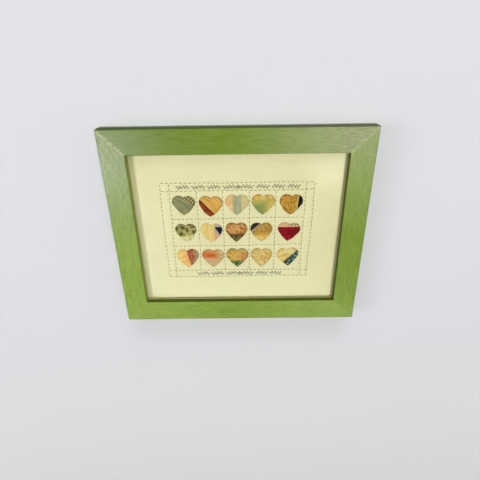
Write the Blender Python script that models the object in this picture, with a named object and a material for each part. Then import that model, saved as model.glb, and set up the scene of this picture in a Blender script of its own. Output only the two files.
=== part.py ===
"""A mini quilt of patchwork hearts behind glass, in a mitred wooden frame that lies on its back.

Units are metres. The frame's back is on z = 0, its face looks along +Z and its top edge lies at +Y.
"""

import math
from typing import NamedTuple

import bmesh
import bpy
from mathutils import Matrix, Vector

MM = 0.001
GAP = 0.3 * MM

# The frame: a flat moulding with a rebate for a 10 x 8 inch pane, seen from the front
SIGHT_WIDTH = 245.0 * MM
SIGHT_HEIGHT = 194.0 * MM
RAIL_WIDTH = 28.0 * MM
FRAME_DEPTH = 19.0 * MM
LIP_DEPTH = 9.5 * MM
REBATE_WIDTH = 5.0 * MM
FRONT_ARRIS = 0.9 * MM
BACK_ARRIS = 0.4 * MM
ARRIS_STEPS = 3
OUTER_WIDTH = SIGHT_WIDTH + 2 * RAIL_WIDTH
OUTER_HEIGHT = SIGHT_HEIGHT + 2 * RAIL_WIDTH

# What lies in the rebate, from the glass down to the steel points
PANE_WIDTH = 254.0 * MM
PANE_HEIGHT = 203.0 * MM
GLASS_THICKNESS = 2.0 * MM
SCRAP_THICKNESS = 1.0 * MM
CLOTH_THICKNESS = 1.4 * MM
CLOTH_TRIM = 1.0 * MM
BOARD_THICKNESS = 2.5 * MM
GLASS_Z = FRAME_DEPTH - LIP_DEPTH - GAP - GLASS_THICKNESS
SCRAP_Z = GLASS_Z - GAP - SCRAP_THICKNESS
CLOTH_Z = SCRAP_Z - GAP - CLOTH_THICKNESS
BOARD_Z = CLOTH_Z - GAP - BOARD_THICKNESS

# The steel points, each half in a slot of the rebate's wall
POINT_WIDTH = 8.0 * MM
POINT_SHOWN = 7.0 * MM
POINT_BURIED = 4.0 * MM
POINT_THICKNESS = 0.6 * MM
POINT_Z = BOARD_Z - GAP - POINT_THICKNESS
POINT_SPREAD = 64.0 * MM

# The quilted grid: sewn lines between the cells and round them, uneven as hand work is
GRID_LEFT = -79.9 * MM
GRID_TOP = 50.0 * MM
COLUMN_WIDTHS = (31.9 * MM, 30.3 * MM, 31.3 * MM, 30.8 * MM, 35.2 * MM)
ROW_HEIGHTS = (34.3 * MM, 36.8 * MM, 35.4 * MM)
SIDE_BANDS = (11.5 * MM, 9.8 * MM)
END_BANDS = (10.6 * MM, 11.5 * MM)
CHANNEL_DEPTH = 0.5 * MM
CHANNEL_HALF_WIDTH = 1.3 * MM

# A heart: two round lobes on a square that stands on its corner, as quilters draw it
LOBE_STEPS = 14
SIDE_STEPS = 4
SIDE_BULGE = 0.4 * MM


class Heart(NamedTuple):
    """A heart's centre and size on the cloth in mm, and its turn in degrees."""

    x: float
    y: float
    width: float
    height: float
    turn: float


class Seam(NamedTuple):
    """A seam across a heart: its normal's angle in degrees and its distance from the centre in mm."""

    angle: float
    offset: float


class Scrap(NamedTuple):
    """A scrap of a heart: the seams that it lies inside of and those that it lies past."""

    heart: int
    name: str
    colour: str
    before: tuple = ()
    past: tuple = ()


CHECK_SEAM = Seam(46, 9.0)
RUST_SEAM = Seam(225, 4.0)
BAND_LEFT = Seam(180, 5.1)
BAND_RIGHT = Seam(0, 4.7)
MEADOW_TOP = Seam(90, 4.2)
MEADOW_SIDE = Seam(-6, 5.2)
INK_SEAM = Seam(-7, 8.4)
LEAF_SEAM = Seam(-78, 4.2)
RIBBON_SEAM = Seam(4, 4.0)
PLUM_SEAM = Seam(34, 8.2)
RUSSET_SEAM = Seam(-90, 3.0)
NIGHT_SEAM = Seam(128, 10.0)
MIST_SEAM = Seam(128, 7.0)
HONEY_SEAM = Seam(-89, 3.6)
CREAM_SEAM = Seam(90, 5.6)
POSY_SEAM = Seam(10, 0.3)
CORAL_BASE = Seam(-93, 0.9)
CORAL_SIDE = Seam(0, 5.8)
FERN_SEAM = Seam(-90, 5.0)
AMBER_SEAM = Seam(-4, 1.6)
STAR_SEAM = Seam(-51, 1.5)

SCRAPS = (
    Scrap(1, "main", "#8d9878", before=(CHECK_SEAM,)),
    Scrap(1, "corner", "#6b5a3a", past=(CHECK_SEAM,)),
    Scrap(2, "main", "#d9a855", before=(RUST_SEAM,)),
    Scrap(2, "band", "#8c2f12", past=(RUST_SEAM,)),
    Scrap(3, "left", "#e9bd8c", past=(BAND_LEFT,)),
    Scrap(3, "middle", "#9fac93", before=(BAND_LEFT, BAND_RIGHT)),
    Scrap(3, "right", "#d8c38a", past=(BAND_RIGHT,)),
    Scrap(4, "top", "#d9b765", past=(MEADOW_TOP,)),
    Scrap(4, "main", "#94a768", before=(MEADOW_TOP, MEADOW_SIDE)),
    Scrap(4, "side", "#dcb562", before=(MEADOW_TOP,), past=(MEADOW_SIDE,)),
    Scrap(5, "main", "#c4913f", before=(INK_SEAM,)),
    Scrap(5, "strip", "#1b1712", past=(INK_SEAM,)),
    Scrap(6, "main", "#99935a", before=(LEAF_SEAM,)),
    Scrap(6, "base", "#d3cd8c", past=(LEAF_SEAM,)),
    Scrap(7, "main", "#ead08a", before=(RIBBON_SEAM,)),
    Scrap(7, "ribbon", "#dfa98f", past=(RIBBON_SEAM,), before=(PLUM_SEAM,)),
    Scrap(7, "corner", "#25223f", past=(RIBBON_SEAM, PLUM_SEAM)),
    Scrap(8, "main", "#c98a50", before=(RUSSET_SEAM,)),
    Scrap(8, "tip", "#5d5838", past=(RUSSET_SEAM,)),
    Scrap(9, "corner", "#1d1f2b", past=(NIGHT_SEAM,)),
    Scrap(9, "stripe", "#b9ae93", before=(NIGHT_SEAM,), past=(MIST_SEAM,)),
    Scrap(9, "main", "#cf9f4d", before=(MIST_SEAM, HONEY_SEAM)),
    Scrap(9, "base", "#e2ba63", before=(MIST_SEAM,), past=(HONEY_SEAM,)),
    Scrap(10, "top", "#e3cda0", past=(CREAM_SEAM,)),
    Scrap(10, "main", "#9c1230", before=(CREAM_SEAM,)),
    Scrap(11, "left", "#ecc486", before=(POSY_SEAM,)),
    Scrap(11, "right", "#b0563c", past=(POSY_SEAM,)),
    Scrap(12, "main", "#dd8a55", before=(CORAL_BASE, CORAL_SIDE)),
    Scrap(12, "side", "#c3b684", before=(CORAL_BASE,), past=(CORAL_SIDE,)),
    Scrap(12, "base", "#ccb287", past=(CORAL_BASE,)),
    Scrap(13, "left", "#cfa044", before=(FERN_SEAM, AMBER_SEAM)),
    Scrap(13, "right", "#cf8345", before=(FERN_SEAM,), past=(AMBER_SEAM,)),
    Scrap(13, "tip", "#4c7440", past=(FERN_SEAM,)),
    Scrap(14, "main", "#d5b76d"),
    Scrap(15, "main", "#e6cd84", before=(STAR_SEAM,)),
    Scrap(15, "band", "#24404f", past=(STAR_SEAM,)),
)

# The hearts in reading order
HEARTS = (
    Heart(-65.3, 33.7, 27.2, 25.6, 3),
    Heart(-33.1, 32.6, 27.2, 26.6, -3),
    Heart(-1.6, 33.9, 27.6, 26.4, 0),
    Heart(29.3, 34.0, 27.4, 26.2, 2),
    Heart(62.6, 33.6, 27.4, 25.8, 2),
    Heart(-64.6, -1.6, 26.6, 24.8, -2),
    Heart(-33.4, -2.4, 26.4, 25.2, -4),
    Heart(-2.5, -1.8, 26.8, 26.2, 0),
    Heart(28.2, -2.0, 26.8, 25.4, 3),
    Heart(61.9, -1.8, 27.0, 25.4, -1),
    Heart(-64.7, -37.6, 27.8, 25.8, 3),
    Heart(-32.7, -38.0, 27.4, 25.8, -2),
    Heart(-1.8, -37.3, 27.4, 26.4, -1),
    Heart(28.4, -37.6, 27.2, 26.4, 1),
    Heart(61.4, -38.2, 27.8, 26.2, 4),
)


def clear_scene():
    """Removes every object and mesh that the start-up file holds."""
    for obj in list(bpy.data.objects):
        bpy.data.objects.remove(obj, do_unlink=True)
    for mesh in list(bpy.data.meshes):
        bpy.data.meshes.remove(mesh)


def new_collection(name):
    """A collection of that name under the scene's own."""
    collection = bpy.data.collections.new(name)
    bpy.context.scene.collection.children.link(collection)
    return collection


def linear(colour):
    """The linear RGBA of an sRGB hex colour."""
    channels = [int(colour[i : i + 2], 16) / 255 for i in (1, 3, 5)]
    curve = [c / 12.92 if c <= 0.04045 else ((c + 0.055) / 1.055) ** 2.4 for c in channels]
    return (*curve, 1.0)


def new_material(name, colour, roughness, metallic=0.0, transmission=0.0):
    """A Principled material with the piece's colour and finish."""
    material = bpy.data.materials.new(name)
    material.use_nodes = True
    shader = material.node_tree.nodes["Principled BSDF"]
    shader.inputs["Base Color"].default_value = linear(colour)
    shader.inputs["Roughness"].default_value = roughness
    shader.inputs["Metallic"].default_value = metallic
    shader.inputs["Transmission Weight"].default_value = transmission
    material.diffuse_color = linear(colour)
    return material


def add_object(name, mesh, collection, material=None):
    """An object of that mesh in the collection, with its material."""
    obj = bpy.data.objects.new(name, mesh)
    collection.objects.link(obj)
    if material:
        mesh.materials.clear()
        mesh.materials.append(material)
    return obj


def box_mesh(name, width, height, depth):
    """A box centred on x and y that stands on z = 0."""
    mesh = bpy.data.meshes.new(name)
    bm = bmesh.new()
    bmesh.ops.create_cube(bm, size=1.0)
    bmesh.ops.scale(bm, vec=(width, height, depth), verts=bm.verts)
    bmesh.ops.translate(bm, vec=(0, 0, depth / 2), verts=bm.verts)
    bm.to_mesh(mesh)
    bm.free()
    return mesh


def slab_mesh(name, outline, thickness):
    """A flat outline in x and y made a slab that stands on z = 0."""
    curve = bpy.data.curves.new(name, "CURVE")
    curve.dimensions = "2D"
    curve.fill_mode = "BOTH"
    curve.extrude = thickness / 2
    spline = curve.splines.new("POLY")
    spline.points.add(len(outline) - 1)
    for point, (x, y) in zip(spline.points, outline):
        point.co = (x, y, 0, 1)
    spline.use_cyclic_u = True
    helper = bpy.data.objects.new(name, curve)
    bpy.context.scene.collection.objects.link(helper)
    graph = bpy.context.evaluated_depsgraph_get()
    mesh = bpy.data.meshes.new_from_object(helper.evaluated_get(graph))
    bpy.data.objects.remove(helper)
    bpy.data.curves.remove(curve)
    bm = bmesh.new()
    bm.from_mesh(mesh)
    bmesh.ops.remove_doubles(bm, verts=bm.verts, dist=0.001 * MM)
    bmesh.ops.translate(bm, vec=(0, 0, thickness / 2), verts=bm.verts)
    bmesh.ops.recalc_face_normals(bm, faces=bm.faces)
    bm.to_mesh(mesh)
    bm.free()
    mesh.name = name
    return mesh


def arris(corner, start, radius):
    """Points of an outer corner's quarter round, from the angle start in degrees and anticlockwise."""
    inward = Vector((math.cos(math.radians(start + 45)), math.sin(math.radians(start + 45))))
    centre = Vector(corner) - inward * radius * math.sqrt(2)
    angles = [math.radians(start + 90 * i / ARRIS_STEPS) for i in range(ARRIS_STEPS + 1)]
    return [(centre.x + radius * math.cos(a), centre.y + radius * math.sin(a)) for a in angles]


def rail_section():
    """The moulding's section: x runs from the frame's outer side inwards, y from the back to the face."""
    wall = RAIL_WIDTH - REBATE_WIDTH
    shoulder = FRAME_DEPTH - LIP_DEPTH
    section = arris((0, 0), 180, BACK_ARRIS)
    section += [(wall, 0), (wall, shoulder), (RAIL_WIDTH, shoulder)]
    section += arris((RAIL_WIDTH, FRAME_DEPTH), 0, FRONT_ARRIS)
    section += arris((0, FRAME_DEPTH), 90, FRONT_ARRIS)
    return section


def rail_mesh(name, length):
    """A rail along x, its outer side on y = 0, with both ends mitred and set back by half a gap."""
    mesh = slab_mesh(name, rail_section(), length)
    bm = bmesh.new()
    bm.from_mesh(mesh)
    along = Matrix(((0, 0, 1, -length / 2), (1, 0, 0, 0), (0, 1, 0, 0), (0, 0, 0, 1)))
    bmesh.ops.transform(bm, matrix=along, verts=bm.verts)
    for end in (-1, 1):
        normal = Vector((end, 1, 0)).normalized()
        corner = Vector((end * length / 2, 0, 0)) - normal * GAP / 2
        everything = bm.verts[:] + bm.edges[:] + bm.faces[:]
        cut = bmesh.ops.bisect_plane(
            bm, geom=everything, plane_co=corner, plane_no=normal, clear_outer=True
        )
        rim = [item for item in cut["geom_cut"] if isinstance(item, bmesh.types.BMEdge)]
        bmesh.ops.contextual_create(bm, geom=rim)
    bmesh.ops.recalc_face_normals(bm, faces=bm.faces)
    bm.to_mesh(mesh)
    bm.free()
    return mesh


def cut_slots(rail, places, cutters):
    """Cuts a slot for each steel point into the rebate's wall."""
    depth = POINT_BURIED + GAP
    width = POINT_WIDTH + 2 * GAP
    height = POINT_THICKNESS + 2 * GAP
    for number, place in enumerate(places):
        reach = REBATE_WIDTH / 2
        mesh = box_mesh("slot", width, depth + reach, height)
        cutter = add_object(f"{rail.name}_slot_{number + 1}", mesh, cutters)
        cutter.parent = rail
        middle = RAIL_WIDTH - REBATE_WIDTH + (reach - depth) / 2
        cutter.location = (place, middle, POINT_Z - GAP)
        cutter.hide_render = True
        cutter.display_type = "WIRE"
        cut = rail.modifiers.new(f"slot_{number + 1}", "BOOLEAN")
        cut.operation = "DIFFERENCE"
        cut.object = cutter


def point_outline():
    """A steel point seen from behind: a tongue along +y whose buried end is a blunt wedge."""
    half = POINT_WIDTH / 2
    tip = half * 0.35
    shoulder = -POINT_BURIED * 0.4
    return [
        (-tip, -POINT_BURIED),
        (tip, -POINT_BURIED),
        (half, shoulder),
        (half, POINT_SHOWN),
        (-half, POINT_SHOWN),
        (-half, shoulder),
    ]


def build_frame(collection, cutters):
    """The four rails, with the steel points that each one carries."""
    paint = new_material("green paint on wood", "#7f9a3c", 0.42)
    steel = new_material("plated steel", "#b4b6b8", 0.35, metallic=1.0)
    long_rail = rail_mesh("long_rail", OUTER_WIDTH)
    short_rail = rail_mesh("short_rail", OUTER_HEIGHT)
    point = slab_mesh("point", point_outline(), POINT_THICKNESS)
    pair = (-POINT_SPREAD, POINT_SPREAD)
    half_width = OUTER_WIDTH / 2
    half_height = OUTER_HEIGHT / 2
    sides = (
        ("bottom", long_rail, (0, -half_height), 0, pair),
        ("right", short_rail, (half_width, 0), 90, (0.0,)),
        ("top", long_rail, (0, half_height), 180, pair),
        ("left", short_rail, (-half_width, 0), 270, (0.0,)),
    )
    for side, mesh, (x, y), turn, places in sides:
        rail = add_object(f"{side}_rail", mesh, collection, paint)
        rail.location = (x, y, 0)
        rail.rotation_euler.z = math.radians(turn)
        cut_slots(rail, places, cutters)
        for number, place in enumerate(places):
            steel_point = add_object(f"{side}_point_{number + 1}", point, collection, steel)
            steel_point.parent = rail
            steel_point.location = (place, RAIL_WIDTH - REBATE_WIDTH, POINT_Z)


def build_glass(collection):
    """The clear pane behind the lip."""
    clear = new_material("picture glass", "#f4f7f2", 0.03, transmission=1.0)
    mesh = box_mesh("pane", PANE_WIDTH, PANE_HEIGHT, GLASS_THICKNESS)
    add_object("glass_pane", mesh, collection, clear).location.z = GLASS_Z


def build_board(collection):
    """The board that closes the back and carries the cloth."""
    card = new_material("brown fibreboard", "#8a6a48", 0.85)
    mesh = box_mesh("board", PANE_WIDTH, PANE_HEIGHT, BOARD_THICKNESS)
    add_object("backing_board", mesh, collection, card).location.z = BOARD_Z


def sewn_lines(start, cells, bands):
    """The sewn lines across one direction: the cells' edges and the border line on either side."""
    lines = [start]
    for cell in cells:
        lines.append(lines[-1] + cell)
    return [start - bands[0], *lines, lines[-1] + bands[1]]


def knots(lines, half_size):
    """Grid positions from edge to edge, with three at each sewn line."""
    found = [-half_size, half_size]
    for line in lines:
        found += [line - CHANNEL_HALF_WIDTH, line, line + CHANNEL_HALF_WIDTH]
    return sorted(found)


def on_line(place, along, lines, crossing):
    """Whether a place is on one of the lines; the cells' own lines end at the first border line."""
    near = MM / 10
    for number, line in enumerate(lines):
        border = number < 2 or number >= len(lines) - 2
        low, high = (crossing[0], crossing[-1]) if border else (crossing[1], crossing[-2])
        if abs(place - line) < near and low - near < along < high + near:
            return True
    return False


def build_ground(collection):
    """The quilted ground cloth: a sheet whose face sinks along every sewn line."""
    cotton = new_material("cream cotton", "#e5e1b4", 0.9)
    columns = sewn_lines(GRID_LEFT, COLUMN_WIDTHS, SIDE_BANDS)
    rows = sewn_lines(GRID_TOP - sum(ROW_HEIGHTS), ROW_HEIGHTS[::-1], END_BANDS)
    across = knots(columns, PANE_WIDTH / 2 - CLOTH_TRIM)
    upward = knots(rows, PANE_HEIGHT / 2 - CLOTH_TRIM)
    bm = bmesh.new()
    bmesh.ops.create_grid(bm, x_segments=len(across) - 1, y_segments=len(upward) - 1, size=0.5)
    for vert in bm.verts:
        x = across[round((vert.co.x + 0.5) * (len(across) - 1))]
        y = upward[round((vert.co.y + 0.5) * (len(upward) - 1))]
        vert.co = (x, y, CLOTH_THICKNESS)
    made = bmesh.ops.extrude_face_region(bm, geom=bm.faces[:], use_keep_orig=True)
    under = [item for item in made["geom"] if isinstance(item, bmesh.types.BMVert)]
    for vert in under:
        vert.co.z = 0
    for vert in set(bm.verts) - set(under):
        x, y, _ = vert.co
        if on_line(x, y, columns, rows) or on_line(y, x, rows, columns):
            vert.co.z -= CHANNEL_DEPTH
    bmesh.ops.recalc_face_normals(bm, faces=bm.faces)
    mesh = bpy.data.meshes.new("ground")
    bm.to_mesh(mesh)
    bm.free()
    add_object("quilt_ground", mesh, collection, cotton).location.z = CLOTH_Z


def heart_outline(heart):
    """A heart's points, anticlockwise from its tip, about the centre of its bounding box."""
    side = 1 / math.sqrt(2)
    points = []
    for step in range(SIDE_STEPS):
        t = step / SIDE_STEPS
        bulge = math.sin(math.pi * t)
        points.append((math.sqrt(2) * t, math.sqrt(2) * (t - 1), bulge))
    for lobe, first in ((1, -45), (-1, 45)):
        for step in range(LOBE_STEPS):
            angle = math.radians(first + 180 * step / LOBE_STEPS)
            points.append((lobe * side + math.cos(angle), side + math.sin(angle), 0))
    for step in range(SIDE_STEPS):
        t = step / SIDE_STEPS
        bulge = math.sin(math.pi * t)
        points.append((math.sqrt(2) * (t - 1), -math.sqrt(2) * t, bulge))
    wide = heart.width * MM / (2 * (1 + side))
    tall = heart.height * MM / (1 + side + math.sqrt(2))
    middle = (1 + side - math.sqrt(2)) / 2
    outline = []
    for x, y, bulge in points:
        out = SIDE_BULGE * bulge * side
        outline.append((x * wide + math.copysign(out, x), (y - middle) * tall - out))
    return outline


def clip(outline, seam, keep_past):
    """The part of an outline on one side of a seam, half a gap away from it."""
    angle = math.radians(seam.angle)
    normal = (math.cos(angle), math.sin(angle))
    way = 1 if keep_past else -1
    kept = []
    for start, end in zip(outline, outline[1:] + outline[:1]):
        depths = [
            way * (x * normal[0] + y * normal[1] - seam.offset * MM) - GAP / 2
            for x, y in (start, end)
        ]
        if depths[0] >= 0:
            kept.append(start)
        if (depths[0] >= 0) != (depths[1] >= 0):
            t = depths[0] / (depths[0] - depths[1])
            kept.append(tuple(a + (b - a) * t for a, b in zip(start, end)))
    return kept


def build_hearts(collection):
    """The scraps of every heart, each heart in its own cell."""
    for scrap in SCRAPS:
        heart = HEARTS[scrap.heart - 1]
        outline = heart_outline(heart)
        for seam in scrap.before:
            outline = clip(outline, seam, keep_past=False)
        for seam in scrap.past:
            outline = clip(outline, seam, keep_past=True)
        name = f"heart_{scrap.heart:02d}_{scrap.name}"
        cloth = new_material(f"cotton scrap {scrap.heart:02d} {scrap.name}", scrap.colour, 0.9)
        piece = add_object(name, slab_mesh(name, outline, SCRAP_THICKNESS), collection, cloth)
        piece.location = (heart.x * MM, heart.y * MM, SCRAP_Z)
        piece.rotation_euler.z = math.radians(heart.turn)


def main():
    """Builds the framed quilt from an empty scene."""
    clear_scene()
    collection = new_collection("framed_mini_quilt")
    cutters = new_collection("cutters")
    build_frame(collection, cutters)
    build_glass(collection)
    build_ground(collection)
    build_hearts(collection)
    build_board(collection)


main()
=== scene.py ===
"""A mini quilt of patchwork hearts behind glass, in a green painted wooden frame.

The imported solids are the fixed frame. The rails, pane, board and steel points keep their shapes and get
real finishes. The ground cloth and the scraps are replaced by finer cloth, and the sewing is added.
Lengths are in millimetres but for the studio's, and add_piece turns points to metres.
"""

from __future__ import annotations

import logging
import math
from dataclasses import dataclass, field, replace
from enum import Enum
from typing import Any

import bpy
import numpy as np
from mathutils import Matrix, Vector


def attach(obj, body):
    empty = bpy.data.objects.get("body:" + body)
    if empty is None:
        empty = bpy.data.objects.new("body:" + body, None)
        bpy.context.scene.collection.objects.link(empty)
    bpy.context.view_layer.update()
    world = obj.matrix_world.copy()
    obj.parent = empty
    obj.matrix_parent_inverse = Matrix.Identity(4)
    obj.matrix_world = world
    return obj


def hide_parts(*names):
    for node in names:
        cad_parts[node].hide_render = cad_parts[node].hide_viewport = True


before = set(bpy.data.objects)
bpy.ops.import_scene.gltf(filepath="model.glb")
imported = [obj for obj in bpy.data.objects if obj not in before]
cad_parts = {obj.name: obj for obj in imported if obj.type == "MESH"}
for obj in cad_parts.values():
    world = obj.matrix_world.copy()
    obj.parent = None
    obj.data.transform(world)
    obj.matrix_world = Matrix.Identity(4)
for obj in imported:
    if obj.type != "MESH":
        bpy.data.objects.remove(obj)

LOG = logging.getLogger("mini_quilt")
MM = 0.001
TURN = 2 * math.pi
Colour = tuple[float, float, float, float]
Pair = tuple[float, float]
Triple = tuple[float, float, float]
# What makes a Mix node blend the colours in its inputs 6 and 7 by its input 0
BLEND: dict[str, Any] = {"out": 2, "data_type": "RGBA"}


def linear(colour: str) -> Colour:
    """The linear RGBA of an sRGB hex colour.

    Args:
        colour: six hex digits after a hash sign.

    Returns:
        Red, green, blue and alpha, as Blender's sockets take them.
    """
    parts = [int(colour[i : i + 2], 16) / 255 for i in (1, 3, 5)]
    flat = [c / 12.92 if c <= 0.04045 else ((c + 0.055) / 1.055) ** 2.4 for c in parts]
    return (flat[0], flat[1], flat[2], 1.0)


# Node trees


class NodeTree:
    """A material's or the world's nodes, which one method adds."""

    def __init__(self, owner: Any) -> None:
        """Empties the owner's tree."""
        owner.use_nodes = True
        self.owner = owner
        self.nodes = owner.node_tree.nodes
        self.links = owner.node_tree.links
        self.nodes.clear()

    def add(
        self, kind: str, inputs: dict | list | tuple = (), out: Any = 0, stops: Any = (), **settings: Any
    ) -> Any:
        """Adds a node with its settings, values and links.

        Args:
            kind: the node's type without Blender's prefix, such as TexNoise.
            inputs: a socket to link from, or a value, for each input in order or by its name or number.
            out: the name or number of the output to hand back, or None for the node.
            stops: a colour ramp's places from 0 to 1, in order, each with its linear colour.
            settings: the node's own properties.

        Returns:
            The output socket, or the node.
        """
        node = self.nodes.new("ShaderNode" + kind)
        for name, value in settings.items():
            setattr(node, name, value)
        if stops:
            elements = node.color_ramp.elements
            for element, (place, colour) in zip(elements, (stops[0], stops[-1])):
                element.position, element.color = place, colour
            for place, colour in stops[1:-1]:
                elements.new(place).color = colour
        for name, value in inputs.items() if isinstance(inputs, dict) else enumerate(inputs):
            if isinstance(value, bpy.types.NodeSocket):
                self.links.new(value, node.inputs[name])
            else:
                node.inputs[name].default_value = value
        return node if out is None else node.outputs[out]


def new_material(name: str) -> NodeTree:
    """An empty node tree in a new material of that name."""
    return NodeTree(bpy.data.materials.new(name))


# Meshes worked out with numpy


def add_piece(
    name: str,
    points: np.ndarray,
    faces: list[np.ndarray],
    material: bpy.types.Material,
    uv: np.ndarray | None = None,
    smooth: bool = True,
    uv_name: str = "strand",
) -> bpy.types.Object:
    """Makes a piece from points in millimetres and joins it to the root body.

    Args:
        name: the piece's name.
        points: the vertices, one row each.
        faces: arrays of faces, each with one row a face and its corners in order.
        material: its only finish.
        uv: a texture place for each vertex, or None.
        smooth: whether the faces are shaded as one curved surface.
        uv_name: what the texture places are called.

    Returns:
        The object, at the origin with its place in its mesh.
    """
    mesh = bpy.data.meshes.new(name)
    corners = np.concatenate([f.reshape(-1) for f in faces]).astype(np.int32)
    sizes = np.concatenate([np.full(len(f), f.shape[1]) for f in faces])
    mesh.vertices.add(len(points))
    mesh.vertices.foreach_set("co", (points * MM).astype(np.float32).reshape(-1))
    mesh.loops.add(len(corners))
    mesh.loops.foreach_set("vertex_index", corners)
    mesh.polygons.add(len(sizes))
    starts = np.concatenate([[0], np.cumsum(sizes)[:-1]]).astype(np.int32)
    mesh.polygons.foreach_set("loop_start", starts)
    mesh.polygons.foreach_set("use_smooth", np.full(len(sizes), smooth))
    mesh.update(calc_edges=True)
    mesh.validate()
    if uv is not None:
        layer = mesh.uv_layers.new(name=uv_name)
        layer.data.foreach_set("uv", uv[corners].astype(np.float32).reshape(-1))
    mesh.materials.append(material)
    piece = bpy.data.objects.new(name, mesh)
    bpy.context.scene.collection.objects.link(piece)
    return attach(piece, "root") or piece


def sheet_faces(rows: int, columns: int, wrap: bool = False) -> np.ndarray:
    """The quads of a grid whose points run column by column within each row.

    Args:
        rows: points along the first parameter.
        columns: points along the second one.
        wrap: whether the last column joins the first.

    Returns:
        One row of four point numbers for each quad.
    """
    across = columns if wrap else columns - 1
    row, column = np.meshgrid(np.arange(rows - 1), np.arange(across), indexing="ij")
    after = (column + 1) % columns
    quads = [row * columns + column, row * columns + after]
    quads += [(row + 1) * columns + after, (row + 1) * columns + column]
    return np.stack(quads, axis=-1).reshape(-1, 4)


def to_segments(points: np.ndarray, loop: np.ndarray) -> np.ndarray:
    """Each point's distance from a closed line of straight runs.

    For each run it takes the share along it of the nearest place, held between its ends.

    Args:
        points: places in x and y.
        loop: the line's corners in order.

    Returns:
        The least distance for each point.
    """
    start = loop[None]
    run = np.roll(loop, -1, axis=0)[None] - start
    away = points[:, None] - start
    share = (away * run).sum(-1) / np.maximum((run * run).sum(-1), 1e-12)
    gap = away - np.clip(share, 0, 1)[..., None] * run
    return np.sqrt((gap * gap).sum(-1)).min(1)


def bell(away: np.ndarray, reach: float) -> np.ndarray:
    """A bell-shaped fall from 1: e to minus the square of the distance over the reach."""
    return np.exp(-((away / reach) ** 2))


def outside(place: np.ndarray, low: float, high: float) -> np.ndarray:
    """How far each place lies outside a span, which is zero inside it."""
    return np.maximum(low - place, 0) + np.maximum(place - high, 0)


def spaced(loop: np.ndarray, pitch: float, first: float = 0.0, ahead: float = 0.0) -> np.ndarray:
    """At least 24 places evenly spread along a closed line, found by their distance along it.

    Args:
        loop: the line's corners in order.
        pitch: about how far apart they are.
        first: how far along the first one is, as a share of the pitch.
        ahead: how far each one is then moved on.

    Returns:
        The places in x and y.
    """
    closed = np.concatenate([loop, loop[:1]])
    far = np.concatenate([[0], np.cumsum(np.linalg.norm(np.diff(closed, axis=0), axis=1))])
    count = max(24, round(far[-1] / pitch))
    at = (np.arange(count) + first) / count * far[-1] + ahead
    return np.stack([np.interp(at, far, closed[:, k]) for k in range(2)], axis=-1)


def wander(x: np.ndarray, y: np.ndarray, reach: float, seed: float) -> np.ndarray:
    """A smooth uneven field: the sum of five sine waves that cross at odd angles.

    Args:
        x: places across, in millimetres.
        y: places up.
        reach: the longest wave, in millimetres.
        seed: which field it is.

    Returns:
        Values of about -1 to 1.
    """
    waves, shrink = 5, 0.83
    total = np.zeros(np.broadcast(x, y).shape)
    for step in range(waves):
        angle = seed * 1.7 + step * 2.4
        wave = reach * shrink**step
        along = x * math.cos(angle) + y * math.sin(angle)
        total = total + np.sin(TURN * along / wave + seed * 3.1 + step * 1.9)
    return total / 2.6


def strands(paths: np.ndarray, radius: float, sides: int = 6) -> tuple[np.ndarray, list, np.ndarray]:
    """Threads carried along many short paths, each a closed tube that tapers at its ends.

    A ring of sides points stands across each path point. Its radius is the thread's times the eighth
    root of one minus the eighth power of the place along, from -1 to 1, so only the ends draw in.

    Args:
        paths: one row a thread, with its points in order.
        radius: the thread's radius.
        sides: points round each ring.

    Returns:
        The points, the arrays of faces, and a texture place for each point.
    """
    count, rings = paths.shape[:2]
    tangent = np.gradient(paths, axis=1)
    tangent /= np.linalg.norm(tangent, axis=-1, keepdims=True)
    across = np.cross(tangent, [0.0, 0.0, 1.0])
    across /= np.maximum(np.linalg.norm(across, axis=-1, keepdims=True), 1e-9)
    upward = np.cross(across, tangent)
    along = np.linspace(-0.97, 0.97, rings)
    girth = radius * (1 - along**8) ** 0.125
    turn = TURN * np.arange(sides) / sides
    ring = across[:, :, None] * np.cos(turn)[:, None] + upward[:, :, None] * np.sin(turn)[:, None]
    points = paths[:, :, None] + ring * girth[None, :, None, None]
    base = np.arange(count)[:, None, None] * rings * sides
    walls = (sheet_faces(rings, sides, wrap=True)[None] + base).reshape(-1, 4)[:, ::-1]
    first = (np.arange(sides)[None] + base[:, 0]).reshape(-1, sides)
    last = first[:, ::-1] + (rings - 1) * sides
    length = np.linalg.norm(np.diff(paths, axis=1), axis=-1).sum(1)
    uv = np.zeros((count, rings, sides, 2))
    uv[..., 0] = length[:, None, None] * np.linspace(0, 1, rings)[None, :, None]
    uv[..., 1] = (np.arange(sides) / sides)[None, None]
    return points.reshape(-1, 3), [walls, first, last], uv.reshape(-1, 2)


def joined(groups: list[np.ndarray], radius: float) -> tuple[np.ndarray, list, np.ndarray]:
    """Threads of groups of paths, each with its own number of points along a path, as one mesh.

    Args:
        groups: arrays of paths.
        radius: the thread's radius.

    Returns:
        The points, the arrays of faces, and a texture place for each point.
    """
    made = [strands(paths, radius, sides=5) for paths in groups]
    starts = np.cumsum([0] + [len(points) for points, _, _ in made[:-1]])
    faces = [face + start for (_, group, _), start in zip(made, starts) for face in group]
    points, uv = (np.concatenate([part[k] for part in made]) for k in (0, 2))
    return points, faces, uv


# Finishes


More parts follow.
